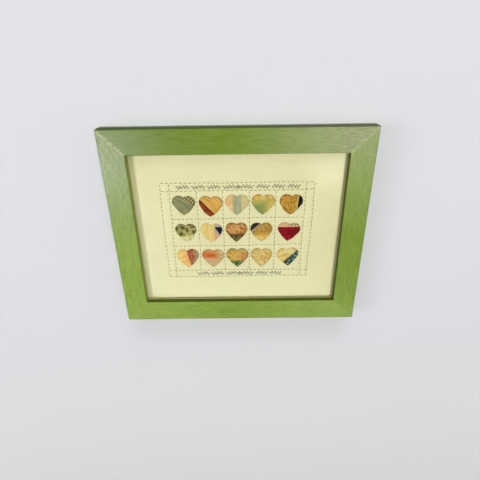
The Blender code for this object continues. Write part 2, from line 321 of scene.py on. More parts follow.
@dataclass(frozen=True)
class BrushedPaint:
    """Satin water-based paint brushed on pine: fine streaks, painted shade on the sides and the lip, a
    painted sheen about the top corners, and rubbed mitres.
    """

    rail: str
    along_x: bool
    # How light the rail's colour is, and how far it is painted pale, partly by a dry brush and partly as
    # a painted sheen, at five places along the rail
    tones: tuple[float, ...]
    dry_and_sheen: tuple[float, ...]
    # How strongly the pale streaks of dry brushing and painted sheen stand out
    streaky: float = 0.35
    # How high above the shoulder the lip is painted pale, a painted light from the cloth below, and the
    # lip's painted shade past that
    pale_lip_foot: float = 0.0
    lip_shade: str = "#62720f"
    # The pale of the rubbed mitres, which is also the colour of the painted sheen's streaks
    pale_worn_and_sheen: str = "#c9ca9f"
    deep: str = "#6e8a29"
    middle: str = "#7d9731"
    pale: str = "#8ca343"
    # The painted light at the foot of the lip
    lip_foot_light: str = "#b3b37c"
    stain: str = "#5f7a12"
    # The outer sides' painted shade, and the painted light at their foot
    side: str = "#41462f"
    side_foot_light: str = "#a9ad9c"
    bare: str = "#c9a777"
    bare_grain: str = "#a98552"
    roughness: float = 0.25
    # How wide and how long each sort of mark is, in millimetres across and along the rail
    hairs: Pair = (0.7, 15.0)
    strokes: Pair = (5.0, 26.0)
    grain: Pair = (1.6, 22.0)
    dragged: Pair = (0.9, 9.0)
    crossed: Pair = (9.0, 1.3)
    # The frame's outer and sight sizes from its middle, and its heights above the table
    half_width: float = 150.5
    half_height: float = 125.0
    sight_x: float = 122.5
    sight_y: float = 97.0
    face_z: float = 19.0
    lip_z: float = 9.5
    # Between these heights the outer sides go from the painted light at the foot to the painted shade
    # above
    foot_low: float = 3.5
    foot_high: float = 8.0
    # How wide the rebate is behind the lip
    rebate: float = 5.0

    def marks(self, tree: NodeTree, place: Any, size: Pair) -> Any:
        """Fine noise drawn out along the rail or across it.

        Args:
            tree: the material's nodes.
            place: the Object coordinates.
            size: a mark's width across the rail and its length along it.

        Returns:
            The noise's value.
        """
        across, along = (1 / (length * MM) for length in size)
        scale = (along, across, across) if self.along_x else (across, along, across)
        drawn = tree.add("Mapping", {"Vector": place, "Scale": scale})
        return tree.add("TexNoise", {"Vector": drawn, "Scale": 1.0, "Detail": 4.0, "Roughness": 0.6})

    def along_rail(self, tree: NodeTree, place: Any, values: tuple[float, ...]) -> Any:
        """A value that changes smoothly along the rail.

        Args:
            tree: the material's nodes.
            place: the Object coordinates.
            values: what it is at places evenly spread from the rail's left or lower end.

        Returns:
            The value's socket.
        """
        half = (self.half_width if self.along_x else self.half_height) * MM
        spot = tree.add("SeparateXYZ", [place], out="X" if self.along_x else "Y")
        share = tree.add("MapRange", [spot, -half, half])
        stops = [(at, (v, v, v, 1.0)) for at, v in zip(np.linspace(0, 1, len(values)), values)]
        return tree.add("ValToRGB", [share], stops=stops)

    def brushed(self, tree: NodeTree, place: Any, hairs: Any) -> Any:
        """The coat's colour on the rail's face: streaks, stains and dry brushing.

        Args:
            tree: the material's nodes.
            place: the Object coordinates.
            hairs: the finest streaks.

        Returns:
            The colour's socket.
        """
        strokes = self.marks(tree, place, self.strokes)
        both = tree.add("Math", [strokes, 0.6, hairs], operation="MULTIPLY_ADD")
        streak = tree.add("MapRange", [both, 0.52, 1.08])
        shades = map(linear, (self.deep, self.middle, self.pale))
        coat = tree.add("ValToRGB", [streak], stops=list(zip((0.0, 0.5, 1.0), shades)))
        tone = self.along_rail(tree, place, self.tones)
        coat = tree.add("Mix", {0: 1.0, 6: coat, 7: tone}, **BLEND, blend_type="MULTIPLY")
        # Darker places a centimetre or so wide, where knots and old paint show through
        cloud = tree.add("TexNoise", {"Vector": place, "Scale": 75.0, "Detail": 2.0})
        stain = tree.add("MapRange", {0: cloud, 1: 0.58, 2: 0.74, 4: 0.5})
        coat = tree.add("Mix", {0: stain, 6: coat, 7: linear(self.stain)}, **BLEND)
        # Short pale streaks, most of all about the top corners, are partly a nearly dry brush's marks,
        # also drawn across them, and partly a painted sheen
        dragged, crossed = (self.marks(tree, place, size) for size in (self.dragged, self.crossed))
        dragged = tree.add("Mix", {0: 0.3, 2: dragged, 3: crossed})
        few, many = 0.52 - 0.5 * self.streaky, 0.52 + 0.9 * self.streaky
        dragged = tree.add("MapRange", [dragged, 0.44, 0.63, few, many])
        dry_and_sheen = self.along_rail(tree, place, self.dry_and_sheen)
        dragged = tree.add("Math", [dragged, dry_and_sheen], operation="MULTIPLY")
        return tree.add("Mix", {0: dragged, 6: coat, 7: linear(self.pale_worn_and_sheen)}, **BLEND)

    def make(self) -> bpy.types.Material:
        """The material, with streaks, painted shade on the sides and lip, rubbed mitres and bare wood
        where no brush went.
        """
        tree = new_material(f"green paint of {self.rail}")
        place = tree.add("TexCoord", out="Object")
        hairs, grain = (self.marks(tree, place, size) for size in (self.hairs, self.grain))
        coat = self.brushed(tree, place, hairs)
        size = tree.add("VectorMath", [place], operation="ABSOLUTE")
        size = tree.add("VectorMath", {0: size, "Scale": 1 / MM}, operation="SCALE")
        x, y, z = tree.add("SeparateXYZ", [size], out=None).outputs
        # Distance from the outer side, for the dark of its arris, and from the sight edge
        gaps = ((self.half_width, x), (self.half_height, y), (x, self.sight_x), (y, self.sight_y))
        gaps = [tree.add("Math", [high, low], operation="SUBTRACT") for high, low in gaps]
        outer = tree.add("Math", [gaps[0], gaps[1]], operation="MINIMUM")
        inner = tree.add("Math", [gaps[2], gaps[3]], operation="MAXIMUM")
        # The lip round the glass has a painted shade, with a painted light near its foot, and is dull
        # there and on the sides
        lip = tree.add("MapRange", [inner, 0.15, 0.5, 1.0, 0.0])
        low = tree.add("MapRange", [z, self.face_z - 1.0, self.face_z - 0.3, 1.0, 0.0])
        lip = tree.add("Math", [lip, low], operation="MULTIPLY")
        pale_foot_top = self.lip_z + self.pale_lip_foot
        foot = tree.add("MapRange", [z, pale_foot_top, pale_foot_top + 0.5])
        painted_lip_light_and_shade = tree.add("Mix", {0: foot, 6: linear(self.lip_foot_light), 7: linear(self.lip_shade)}, **BLEND)
        coat = tree.add("Mix", {0: lip, 6: coat, 7: painted_lip_light_and_shade}, **BLEND)
        # The outer sides and their front arris are dull, with a painted shade on them and a painted light
        # by the table
        side = tree.add("MapRange", [outer, 0.2, 0.9, 1.0, 0.0])
        level = tree.add("MapRange", [z, self.foot_low, self.foot_high])
        side_light_and_shade = tree.add("Mix", {0: level, 6: linear(self.side_foot_light), 7: linear(self.side)}, **BLEND)
        side_shade_share = tree.add("MapRange", [z, self.face_z - 1.0, self.face_z, 0.7, 0.3])
        side_shade_share = tree.add("Math", [side, side_shade_share], operation="MULTIPLY")
        coat = tree.add("Mix", {0: side_shade_share, 6: coat, 7: side_light_and_shade}, **BLEND)
        # On the face beside the mitre plane the joints have rubbed pale in specks, most in the upper two
        slant = tree.add("Math", [gaps[2], gaps[3]], operation="SUBTRACT")
        slant = tree.add("Math", [slant], operation="ABSOLUTE")
        wear = tree.add("MapRange", [slant, 0.4, 3.4, 1.0, 0.0])
        signed = tree.add("SeparateXYZ", [place], out="Y")
        upper = tree.add("MapRange", [signed, -0.05, 0.05, 0.15, 0.8])
        speck = tree.add("TexNoise", {"Vector": place, "Scale": 700.0, "Detail": 3.0})
        patchy = tree.add("MapRange", [speck, 0.47, 0.6])
        high = tree.add("MapRange", [z, self.face_z - 1.1, self.face_z - 0.4])
        for share in (upper, patchy, high, 0.8):
            wear = tree.add("Math", [wear, share], operation="MULTIPLY")
        paint = tree.add("Mix", {0: wear, 6: coat, 7: linear(self.pale_worn_and_sheen)}, **BLEND)
        # Bare wood in the rebate and on the back, past where the brush ran over the edge
        lap = tree.add("MapRange", {0: speck, 3: 1.5, 4: 6.0})
        past = tree.add("Math", [outer, lap], operation="GREATER_THAN")
        back = tree.add("Math", [z, 0.25], operation="LESS_THAN")
        back = tree.add("Math", [back, past], operation="MULTIPLY")
        rebate = tree.add("Math", [inner, self.rebate + 0.1], operation="LESS_THAN")
        under = tree.add("Math", [z, self.lip_z + 0.05], operation="LESS_THAN")
        rebate = tree.add("Math", [rebate, under], operation="MULTIPLY")
        raw = tree.add("Math", [back, rebate], operation="MAXIMUM")
        ring = tree.add("MapRange", [grain, 0.35, 0.7])
        pine = tree.add("Mix", {0: ring, 6: linear(self.bare), 7: linear(self.bare_grain)}, **BLEND)
        colour = tree.add("Mix", {0: raw, 6: paint, 7: pine}, **BLEND)
        gloss = tree.add("MapRange", {0: hairs, 3: self.roughness - 0.05, 4: self.roughness + 0.12})
        dull = tree.add("Math", [side, lip], operation="MAXIMUM")
        dull = tree.add("Math", [dull, 0.9], operation="MULTIPLY")
        for least in (dull, raw):
            gloss = tree.add("Math", [gloss, least], operation="MAXIMUM")
        relief = tree.add("Math", [hairs, grain], operation="ADD")
        bump = tree.add("Bump", {"Height": relief, "Distance": 0.07 * MM, "Strength": 0.6})
        coated = {"Base Color": colour, "Roughness": gloss, "IOR": 1.48, "Normal": bump}
        finish = tree.add("BsdfPrincipled", coated)
        tree.add("OutputMaterial", {"Surface": finish}, out=None)
        return tree.owner


@dataclass(frozen=True)
class WoodFiller:
    """Chalky filler and old paint in a mitre: specked paler than the rails in the two top joints."""

    top: str = "#c3ca9a"
    bottom: str = "#7d9440"
    roughness: float = 0.7

    def make(self) -> bpy.types.Material:
        """The material, speckled along the joint."""
        tree = new_material("painted wood filler")
        place = tree.add("TexCoord", out="Object")
        height = tree.add("SeparateXYZ", [place], out="Y")
        upper = tree.add("MapRange", [height, -0.05, 0.05])
        speck = tree.add("TexNoise", {"Vector": place, "Scale": 900.0, "Detail": 2.0})
        fleck = tree.add("MapRange", [speck, 0.4, 0.6])
        breaks = tree.add("TexNoise", {"Vector": place, "Scale": 280.0, "Detail": 1.0})
        breaks = tree.add("MapRange", [breaks, 0.47, 0.54])
        fleck = tree.add("Math", [fleck, breaks], operation="MULTIPLY")
        share = tree.add("Math", [upper, fleck], operation="MULTIPLY")
        colour = tree.add("Mix", {0: share, 6: linear(self.bottom), 7: linear(self.top)}, **BLEND)
        finish = tree.add("BsdfPrincipled", {"Base Color": colour, "Roughness": self.roughness})
        tree.add("OutputMaterial", {"Surface": finish}, out=None)
        return tree.owner


@dataclass(frozen=True)
class PictureGlass:
    """Clear 2 mm float glass: sharp reflections by its index, and light passes straight through."""

    tint: str = "#fbfdf9"
    index: float = 1.52
    # What both faces together mirror, as a multiple of one
    both_faces: float = 1.85

    def make(self) -> bpy.types.Material:
        """The material: clear, and mirrored on its outer faces by Fresnel's share of both of them."""
        tree = new_material("picture float glass")
        share = tree.add("Fresnel", {"IOR": self.index})
        twice = tree.add("Math", [share, self.both_faces], operation="MULTIPLY", use_clamp=True)
        inside = tree.add("NewGeometry", out="Backfacing")
        outside = tree.add("Math", [1.0, inside], operation="SUBTRACT")
        mirrored = tree.add("Math", [twice, outside], operation="MULTIPLY")
        clear = tree.add("BsdfTransparent", {"Color": linear(self.tint)})
        mirror = tree.add("BsdfAnisotropic", {"Color": (1, 1, 1, 1), "Roughness": 0.0})
        pane = tree.add("MixShader", [mirrored, clear, mirror])
        tree.add("OutputMaterial", {"Surface": pane}, out=None)
        return tree.owner


@dataclass(frozen=True)
class Fibreboard:
    """Pressed brown fibreboard: matt, with short pale fibres a few millimetres long."""

    dark: str = "#77583a"
    light: str = "#9c7a55"
    roughness: float = 0.88

    def make(self) -> bpy.types.Material:
        """The material, with raised fibres that cross in two directions."""
        tree = new_material("pressed fibreboard")
        place = tree.add("TexCoord", out="Object")
        layers = []
        for turn in (0.5, 2.0):
            drawn = {"Vector": place, "Rotation": (0, 0, turn), "Scale": (350, 2200, 900)}
            drawn = tree.add("Mapping", drawn)
            layers.append(tree.add("TexNoise", {"Vector": drawn, "Scale": 1.0, "Detail": 3.0}))
        fibre = tree.add("Math", [layers[0], layers[1]], operation="MAXIMUM")
        share = tree.add("MapRange", [fibre, 0.45, 0.75])
        colour = tree.add("Mix", {0: share, 6: linear(self.dark), 7: linear(self.light)}, **BLEND)
        bump = tree.add("Bump", {"Height": fibre, "Distance": 0.08 * MM, "Strength": 0.7})
        matt = {"Base Color": colour, "Roughness": self.roughness, "Normal": bump}
        finish = tree.add("BsdfPrincipled", matt)
        tree.add("OutputMaterial", {"Surface": finish}, out=None)
        return tree.owner


@dataclass(frozen=True)
class PlatedSteel:
    """Zinc-plated spring steel, stamped: grey and half bright, with faint rolling lines."""

    colour: str = "#b7b9bc"

    def make(self) -> bpy.types.Material:
        """The material, with a roughness that runs in fine lines."""
        tree = new_material("zinc plated steel")
        place = tree.add("TexCoord", out="Object")
        drawn = tree.add("Mapping", {"Vector": place, "Scale": (4000, 250, 250)})
        lines = tree.add("TexNoise", {"Vector": drawn, "Scale": 1.0, "Detail": 2.0})
        gloss = tree.add("MapRange", {0: lines, 3: 0.24, 4: 0.5})
        plating = {"Base Color": linear(self.colour), "Metallic": 1.0, "Roughness": gloss}
        finish = tree.add("BsdfPrincipled", plating)
        tree.add("OutputMaterial", {"Surface": finish}, out=None)
        return tree.owner


class Print(Enum):
    """What is dyed, woven or printed on a cotton."""

    MOTTLED = "mottled"
    SLUB = "slub"
    CHECK = "check"
    STRIPE = "stripe"
    LEAF = "leaf"
    FLOWER = "flower"
    STAR = "star"


@dataclass(frozen=True)
class Wash:
    """A soft-edged band of another colour across a scrap: a dye on the scraps, and on the ground cloth a
    painted light and a painted shade.

    The line along its middle is offset from the heart's centre, the way that its angle in degrees points.
    """

    angle: float
    offset: float
    half_width: float
    soft: float
    colour: str
    share: float = 0.8


@dataclass(frozen=True)
class Cotton:
    """Quilting cotton: a matt plain weave with a little fuzz, and its print."""

    name: str
    base: str
    pattern: Print
    second: str
    third: str = "#ffffff"
    repeat_mm: float = 4.0
    angle: float = 0.0
    share: float = 1.0
    washes: tuple[Wash, ...] = ()
    centre: Pair = (0.0, 0.0)
    # A quilting cotton has a thread every 0.35 mm; this is coarser, so that it shows
    thread_mm: float = 0.55
    weave: float = 0.5
    roughness: float = 0.86
    sheen: float = 0.1
    # How close the slubs of the yarn lie across a thread and along it, in marks a millimetre
    slub_across: float = 3.2
    slub_along: float = 0.2
    # How dark the painted shade makes the hemmed edge and the seams, as a share of the cloth's own colour
    edge: float = 0.68
    seam: float = 0.9
    # How far in from the hem the painted shade fades out
    rim_mm: float = 1.5

    def motif(self, tree: NodeTree, place: Any) -> tuple[Any, Any, Any, Any]:
        """Scattered cells for a small printed motif.

        Args:
            tree: the material's nodes.
            place: the turned coordinates in millimetres.

        Returns:
            x and y from the cell's middle turned by its own angle, the distance from it, both as a
            share of the repeat, and a value that is the cell's own.
        """
        cells = tree.add("VectorMath", {0: place, "Scale": 1 / self.repeat_mm}, operation="SCALE")
        spread = {"Vector": cells, "Scale": 1.0, "Randomness": 0.55}
        points = tree.add("TexVoronoi", spread, out=None, voronoi_dimensions="2D")
        away = tree.add("VectorMath", [cells, points.outputs["Position"]], operation="SUBTRACT")
        away = tree.add("VectorMath", [away, (1, 1, 0)], operation="MULTIPLY")
        own = tree.add("SeparateColor", [points.outputs["Color"]], out=0)
        turn = tree.add("Math", [own, TURN], operation="MULTIPLY")
        turned = tree.add("VectorRotate", {"Vector": away, "Angle": turn}, rotation_type="Z_AXIS")
        split = tree.add("SeparateXYZ", [turned], out=None)
        return split.outputs[0], split.outputs[1], points.outputs["Distance"], own

    def printed(self, tree: NodeTree, place: Any) -> Any:
        """The print's colour.

        Args:
            tree: the material's nodes.
            place: the turned coordinates in millimetres.

        Returns:
            The colour's socket.
        """
        base, second, third = linear(self.base), linear(self.second), linear(self.third)
        if self.pattern is Print.MOTTLED:
            cloud = tree.add("TexNoise", {"Vector": place, "Scale": 0.8 / self.repeat_mm, "Detail": 2.0})
            return tree.add("ValToRGB", [cloud], stops=[(0.34, second), (0.5, base), (0.68, third)])
        if self.pattern is Print.SLUB:
            scale = (1 / (self.repeat_mm * 6), 1 / self.repeat_mm, 1)
            drawn = tree.add("Mapping", {"Vector": place, "Scale": scale})
            lines = tree.add("TexNoise", {"Vector": drawn, "Scale": 1.0, "Detail": 3.0})
            share = tree.add("MapRange", {0: lines, 1: 0.4, 2: 0.62, 4: self.share})
            return tree.add("Mix", {0: share, 6: base, 7: second}, **BLEND)
        if self.pattern in (Print.STRIPE, Print.CHECK):
            split = tree.add("SeparateXYZ", [place], out=None)
            steps = []
            for side in split.outputs[: 1 if self.pattern is Print.STRIPE else 2]:
                count = tree.add("Math", [side, 1 / self.repeat_mm], operation="MULTIPLY")
                steps.append(tree.add("Math", [count], operation="FRACT"))
        if self.pattern is Print.STRIPE:
            edges = (0.0, 0.36, 0.42, 0.62, 0.68, 0.94, 1.0)
            shades = (base, base, second, second, third, third, base)
            return tree.add("ValToRGB", [steps[0]], stops=list(zip(edges, shades)))
        if self.pattern is Print.CHECK:
            bars = [tree.add("Math", [step, 0.5], operation="GREATER_THAN") for step in steps]
            both = tree.add("Math", [bars[0], bars[1]], operation="ADD")
            half = tree.add("Math", [both, 0.5 * self.share], operation="MULTIPLY")
            return tree.add("Mix", {0: half, 6: base, 7: second}, **BLEND)
        x, y, far, own = self.motif(tree, place)
        if self.pattern is Print.LEAF:
            # A leaf is where y is under a parabola of x, and its rib is a thin line along it
            square = tree.add("Math", [x, x], operation="MULTIPLY")
            reach = tree.add("Math", [square, -1.3, 0.26], operation="MULTIPLY_ADD")
            side = tree.add("Math", [y], operation="ABSOLUTE")
            within = tree.add("Math", [reach, side], operation="SUBTRACT")
            leaf = tree.add("MapRange", {0: within, 1: -0.02, 2: 0.03, 4: self.share})
            rib = tree.add("MapRange", [side, 0.015, 0.045, 0.55, 1.0])
            leaf = tree.add("Math", [leaf, rib], operation="MULTIPLY")
            shade = tree.add("Mix", {0: own, 6: second, 7: third}, **BLEND)
            cloud = tree.add("TexNoise", {"Vector": place, "Scale": 1.7 / self.repeat_mm, "Detail": 2.0})
            cloud = tree.add("MapRange", {0: cloud, 1: 0.42, 2: 0.6, 4: 0.6})
            leaf = tree.add("Math", [leaf, cloud], operation="MAXIMUM")
            return tree.add("Mix", {0: leaf, 6: base, 7: shade}, **BLEND)
        # A flower or star is where the distance is under a mean radius plus a wave of the angle
        lobes, wave = 5, 0.09
        mean = 0.3 if self.pattern is Print.FLOWER else 0.19
        angle = tree.add("Math", [y, x], operation="ARCTAN2")
        turn = tree.add("Math", [angle, float(lobes)], operation="MULTIPLY")
        petal = tree.add("Math", [turn], operation="COSINE")
        reach = tree.add("Math", [petal, wave, mean], operation="MULTIPLY_ADD")
        within = tree.add("Math", [reach, far], operation="SUBTRACT")
        bloom = tree.add("MapRange", {0: within, 1: -0.02, 2: 0.04, 4: self.share})
        heart = tree.add("MapRange", [far, mean * 0.3, mean * 0.42, 1.0, 0.0])
        shade = tree.add("Mix", {0: heart, 6: second, 7: third}, **BLEND)
        return tree.add("Mix", {0: bloom, 6: base, 7: shade}, **BLEND)

    def washed(self, tree: NodeTree, place: Any, colour: Any) -> Any:
        """The colour with each wash laid over it.

        Args:
            tree: the material's nodes.
            place: coordinates from the heart's centre, in millimetres.
            colour: the colour so far.

        Returns:
            The colour with the washes.
        """
        for wash in self.washes:
            turn = math.radians(wash.angle)
            way = (math.cos(turn), math.sin(turn), 0.0)
            along = tree.add("VectorMath", [place, way], out="Value", operation="DOT_PRODUCT")
            away = tree.add("Math", [along, wash.offset], operation="SUBTRACT")
            away = tree.add("Math", [away], operation="ABSOLUTE")
            inner, outer = wash.half_width - wash.soft, wash.half_width + wash.soft
            share = tree.add("MapRange", [away, inner, outer, wash.share, 0.0])
            colour = tree.add("Mix", {0: share, 6: colour, 7: linear(wash.colour)}, **BLEND)
        return colour

    def make(self) -> bpy.types.Material:
        """The material: the print and its washes, thread slubs, and the weave's fine relief."""
        tree = new_material(self.name)
        raw = tree.add("TexCoord", out="Object")
        shift = (-self.centre[0], -self.centre[1], 0.0)
        mm = tree.add("Mapping", {"Vector": raw, "Location": shift, "Scale": (1 / MM, 1 / MM, 1 / MM)})
        turn = (0.0, 0.0, -math.radians(self.angle))
        place = tree.add("Mapping", {"Vector": mm, "Rotation": turn})
        colour = self.washed(tree, mm, self.printed(tree, place))
        threads, slubs = [], []
        split = tree.add("SeparateXYZ", [place], out=None)
        across, along = self.slub_across, self.slub_along
        for side, scale in ((0, (across, along, 1)), (1, (along, across, 1))):
            phase = tree.add("Math", [split.outputs[side], TURN / self.thread_mm], operation="MULTIPLY")
            threads.append(tree.add("Math", [phase], operation="SINE"))
            drawn = tree.add("Mapping", {"Vector": place, "Scale": scale})
            slubs.append(tree.add("TexNoise", {"Vector": drawn, "Scale": 1.0, "Detail": 2.0}))
        over = tree.add("Math", [threads[0], threads[1]], operation="MULTIPLY")
        slub = tree.add("Math", [slubs[0], slubs[1]], operation="ADD")
        bright = tree.add("MapRange", [slub, 0.7, 1.3, 0.94, 1.06])
        if self.edge < 1.0:
            # A painted shade darkens the cloth where the edge is turned under and hemmed, and a little in
            # each seam
            inset = tree.add("UVMap", uv_map="inset")
            depth = tree.add("SeparateXYZ", [inset], out=None)
            rim = tree.add("MapRange", [depth.outputs[0], 0.2, self.rim_mm, self.edge, 1.0])
            seam = tree.add("MapRange", [depth.outputs[1], 0.1, 0.7, self.seam, 1.0])
            shade = tree.add("Math", [rim, seam], operation="MINIMUM")
            bright = tree.add("Math", [bright, shade], operation="MULTIPLY")
        colour = tree.add("Mix", {0: 1.0, 6: colour, 7: bright}, **BLEND, blend_type="MULTIPLY")
        relief = tree.add("Math", [over, 0.5, slub], operation="MULTIPLY_ADD")
        bump = tree.add("Bump", {"Height": relief, "Distance": 0.05 * MM, "Strength": self.weave})
        woven = {"Base Color": colour, "Roughness": self.roughness, "Normal": bump}
        woven |= {"IOR": 1.45, "Specular IOR Level": 0.3}
        woven |= {"Sheen Weight": self.sheen, "Sheen Roughness": 0.5}
        finish = tree.add("BsdfPrincipled", woven)
        tree.add("OutputMaterial", {"Surface": finish}, out=None)
        return tree.owner


@dataclass(frozen=True)
class SewingThread:
    """Two-ply cotton thread: matt, with its twist seen as slanting dark lines."""

    name: str
    light: str
    dark: str
    ply_mm: float = 0.5
    roughness: float = 0.75

    def make(self) -> bpy.types.Material:
        """The material, whose plies wind round the strand's own texture places."""
        tree = new_material(self.name)
        strand = tree.add("UVMap", uv_map="strand")
        split = tree.add("SeparateXYZ", [strand], out=None)
        along = tree.add("Math", [split.outputs[0], 1 / self.ply_mm], operation="MULTIPLY")
        wound = tree.add("Math", [along, split.outputs[1]], operation="ADD")
        turn = tree.add("Math", [wound, TURN], operation="MULTIPLY")
        ply = tree.add("Math", [turn], operation="SINE")
        share = tree.add("MapRange", [ply, -0.9, 0.3])
        colour = tree.add("Mix", {0: share, 6: linear(self.dark), 7: linear(self.light)}, **BLEND)
        bump = tree.add("Bump", {"Height": ply, "Distance": 0.04 * MM, "Strength": 0.8})
        spun = {"Base Color": colour, "Roughness": self.roughness, "Sheen Weight": 0.2, "Normal": bump}
        finish = tree.add("BsdfPrincipled", spun)
        tree.add("OutputMaterial", {"Surface": finish}, out=None)
        return tree.owner


@dataclass(frozen=True)
class StudioPaper:
    """Matt white background paper without a pattern, painted a little lighter and warmer in front of the
    frame's foot as a painted light.
    """

    near: str = "#ebe9e8"
    far: str = "#e6e6e9"
    # Between these places, in metres up the picture, the near colour turns to the far one
    near_y: float = -0.36
    far_y: float = -0.16

    def make(self) -> bpy.types.Material:
        """The material, with a faint unevenness of gloss and the painted light's change of tone."""
        tree = new_material("background paper")
        place = tree.add("TexCoord", out="Object")
        cloud = tree.add("TexNoise", {"Vector": place, "Scale": 3.0, "Detail": 1.0})
        gloss = tree.add("MapRange", {0: cloud, 3: 0.85, 4: 0.95})
        height = tree.add("SeparateXYZ", [place], out="Y")
        share = tree.add("MapRange", [height, self.near_y, self.far_y])
        colour = tree.add("Mix", {0: share, 6: linear(self.near), 7: linear(self.far)}, **BLEND)
        paper = {"Base Color": colour, "Roughness": gloss, "Specular IOR Level": 0.2}
        finish = tree.add("BsdfPrincipled", paper)
        tree.add("OutputMaterial", {"Surface": finish}, out=None)
        return tree.owner


# The quilt


@dataclass(frozen=True)
class SewnLine:
    """A quilted line of hand running stitch, straight but for the hand's wander."""

    upright: bool
    start: float
    end: float
    low: float
    high: float
    seed: float
    sway: float = 0.26
    stitch: float = 4.5
    pitch: float = 5.4

    def course(self, along: np.ndarray) -> np.ndarray:
        """The line's place across at each place along it: two slow sine waves about a straight run."""
        slow = np.sin(along / 19.0 + self.seed * 2.3) + 0.5 * np.sin(along / 7.3 + self.seed * 5.1)
        share = (along - self.low) / (self.high - self.low)
        return self.start + (self.end - self.start) * share + self.sway * slow

    def split(self, x: np.ndarray, y: np.ndarray) -> tuple[np.ndarray, np.ndarray]:
        """Places along and across the line."""
        return (y, x) if self.upright else (x, y)

    def count(self) -> int:
        """How many stitches the line has."""
        return round((self.high - self.low) / self.pitch)

    def middles(self) -> np.ndarray:
        """Where the stitches' middles lie along the line, evenly spread from end to end."""
        return self.low + (np.arange(self.count()) + 0.5) * (self.high - self.low) / self.count()


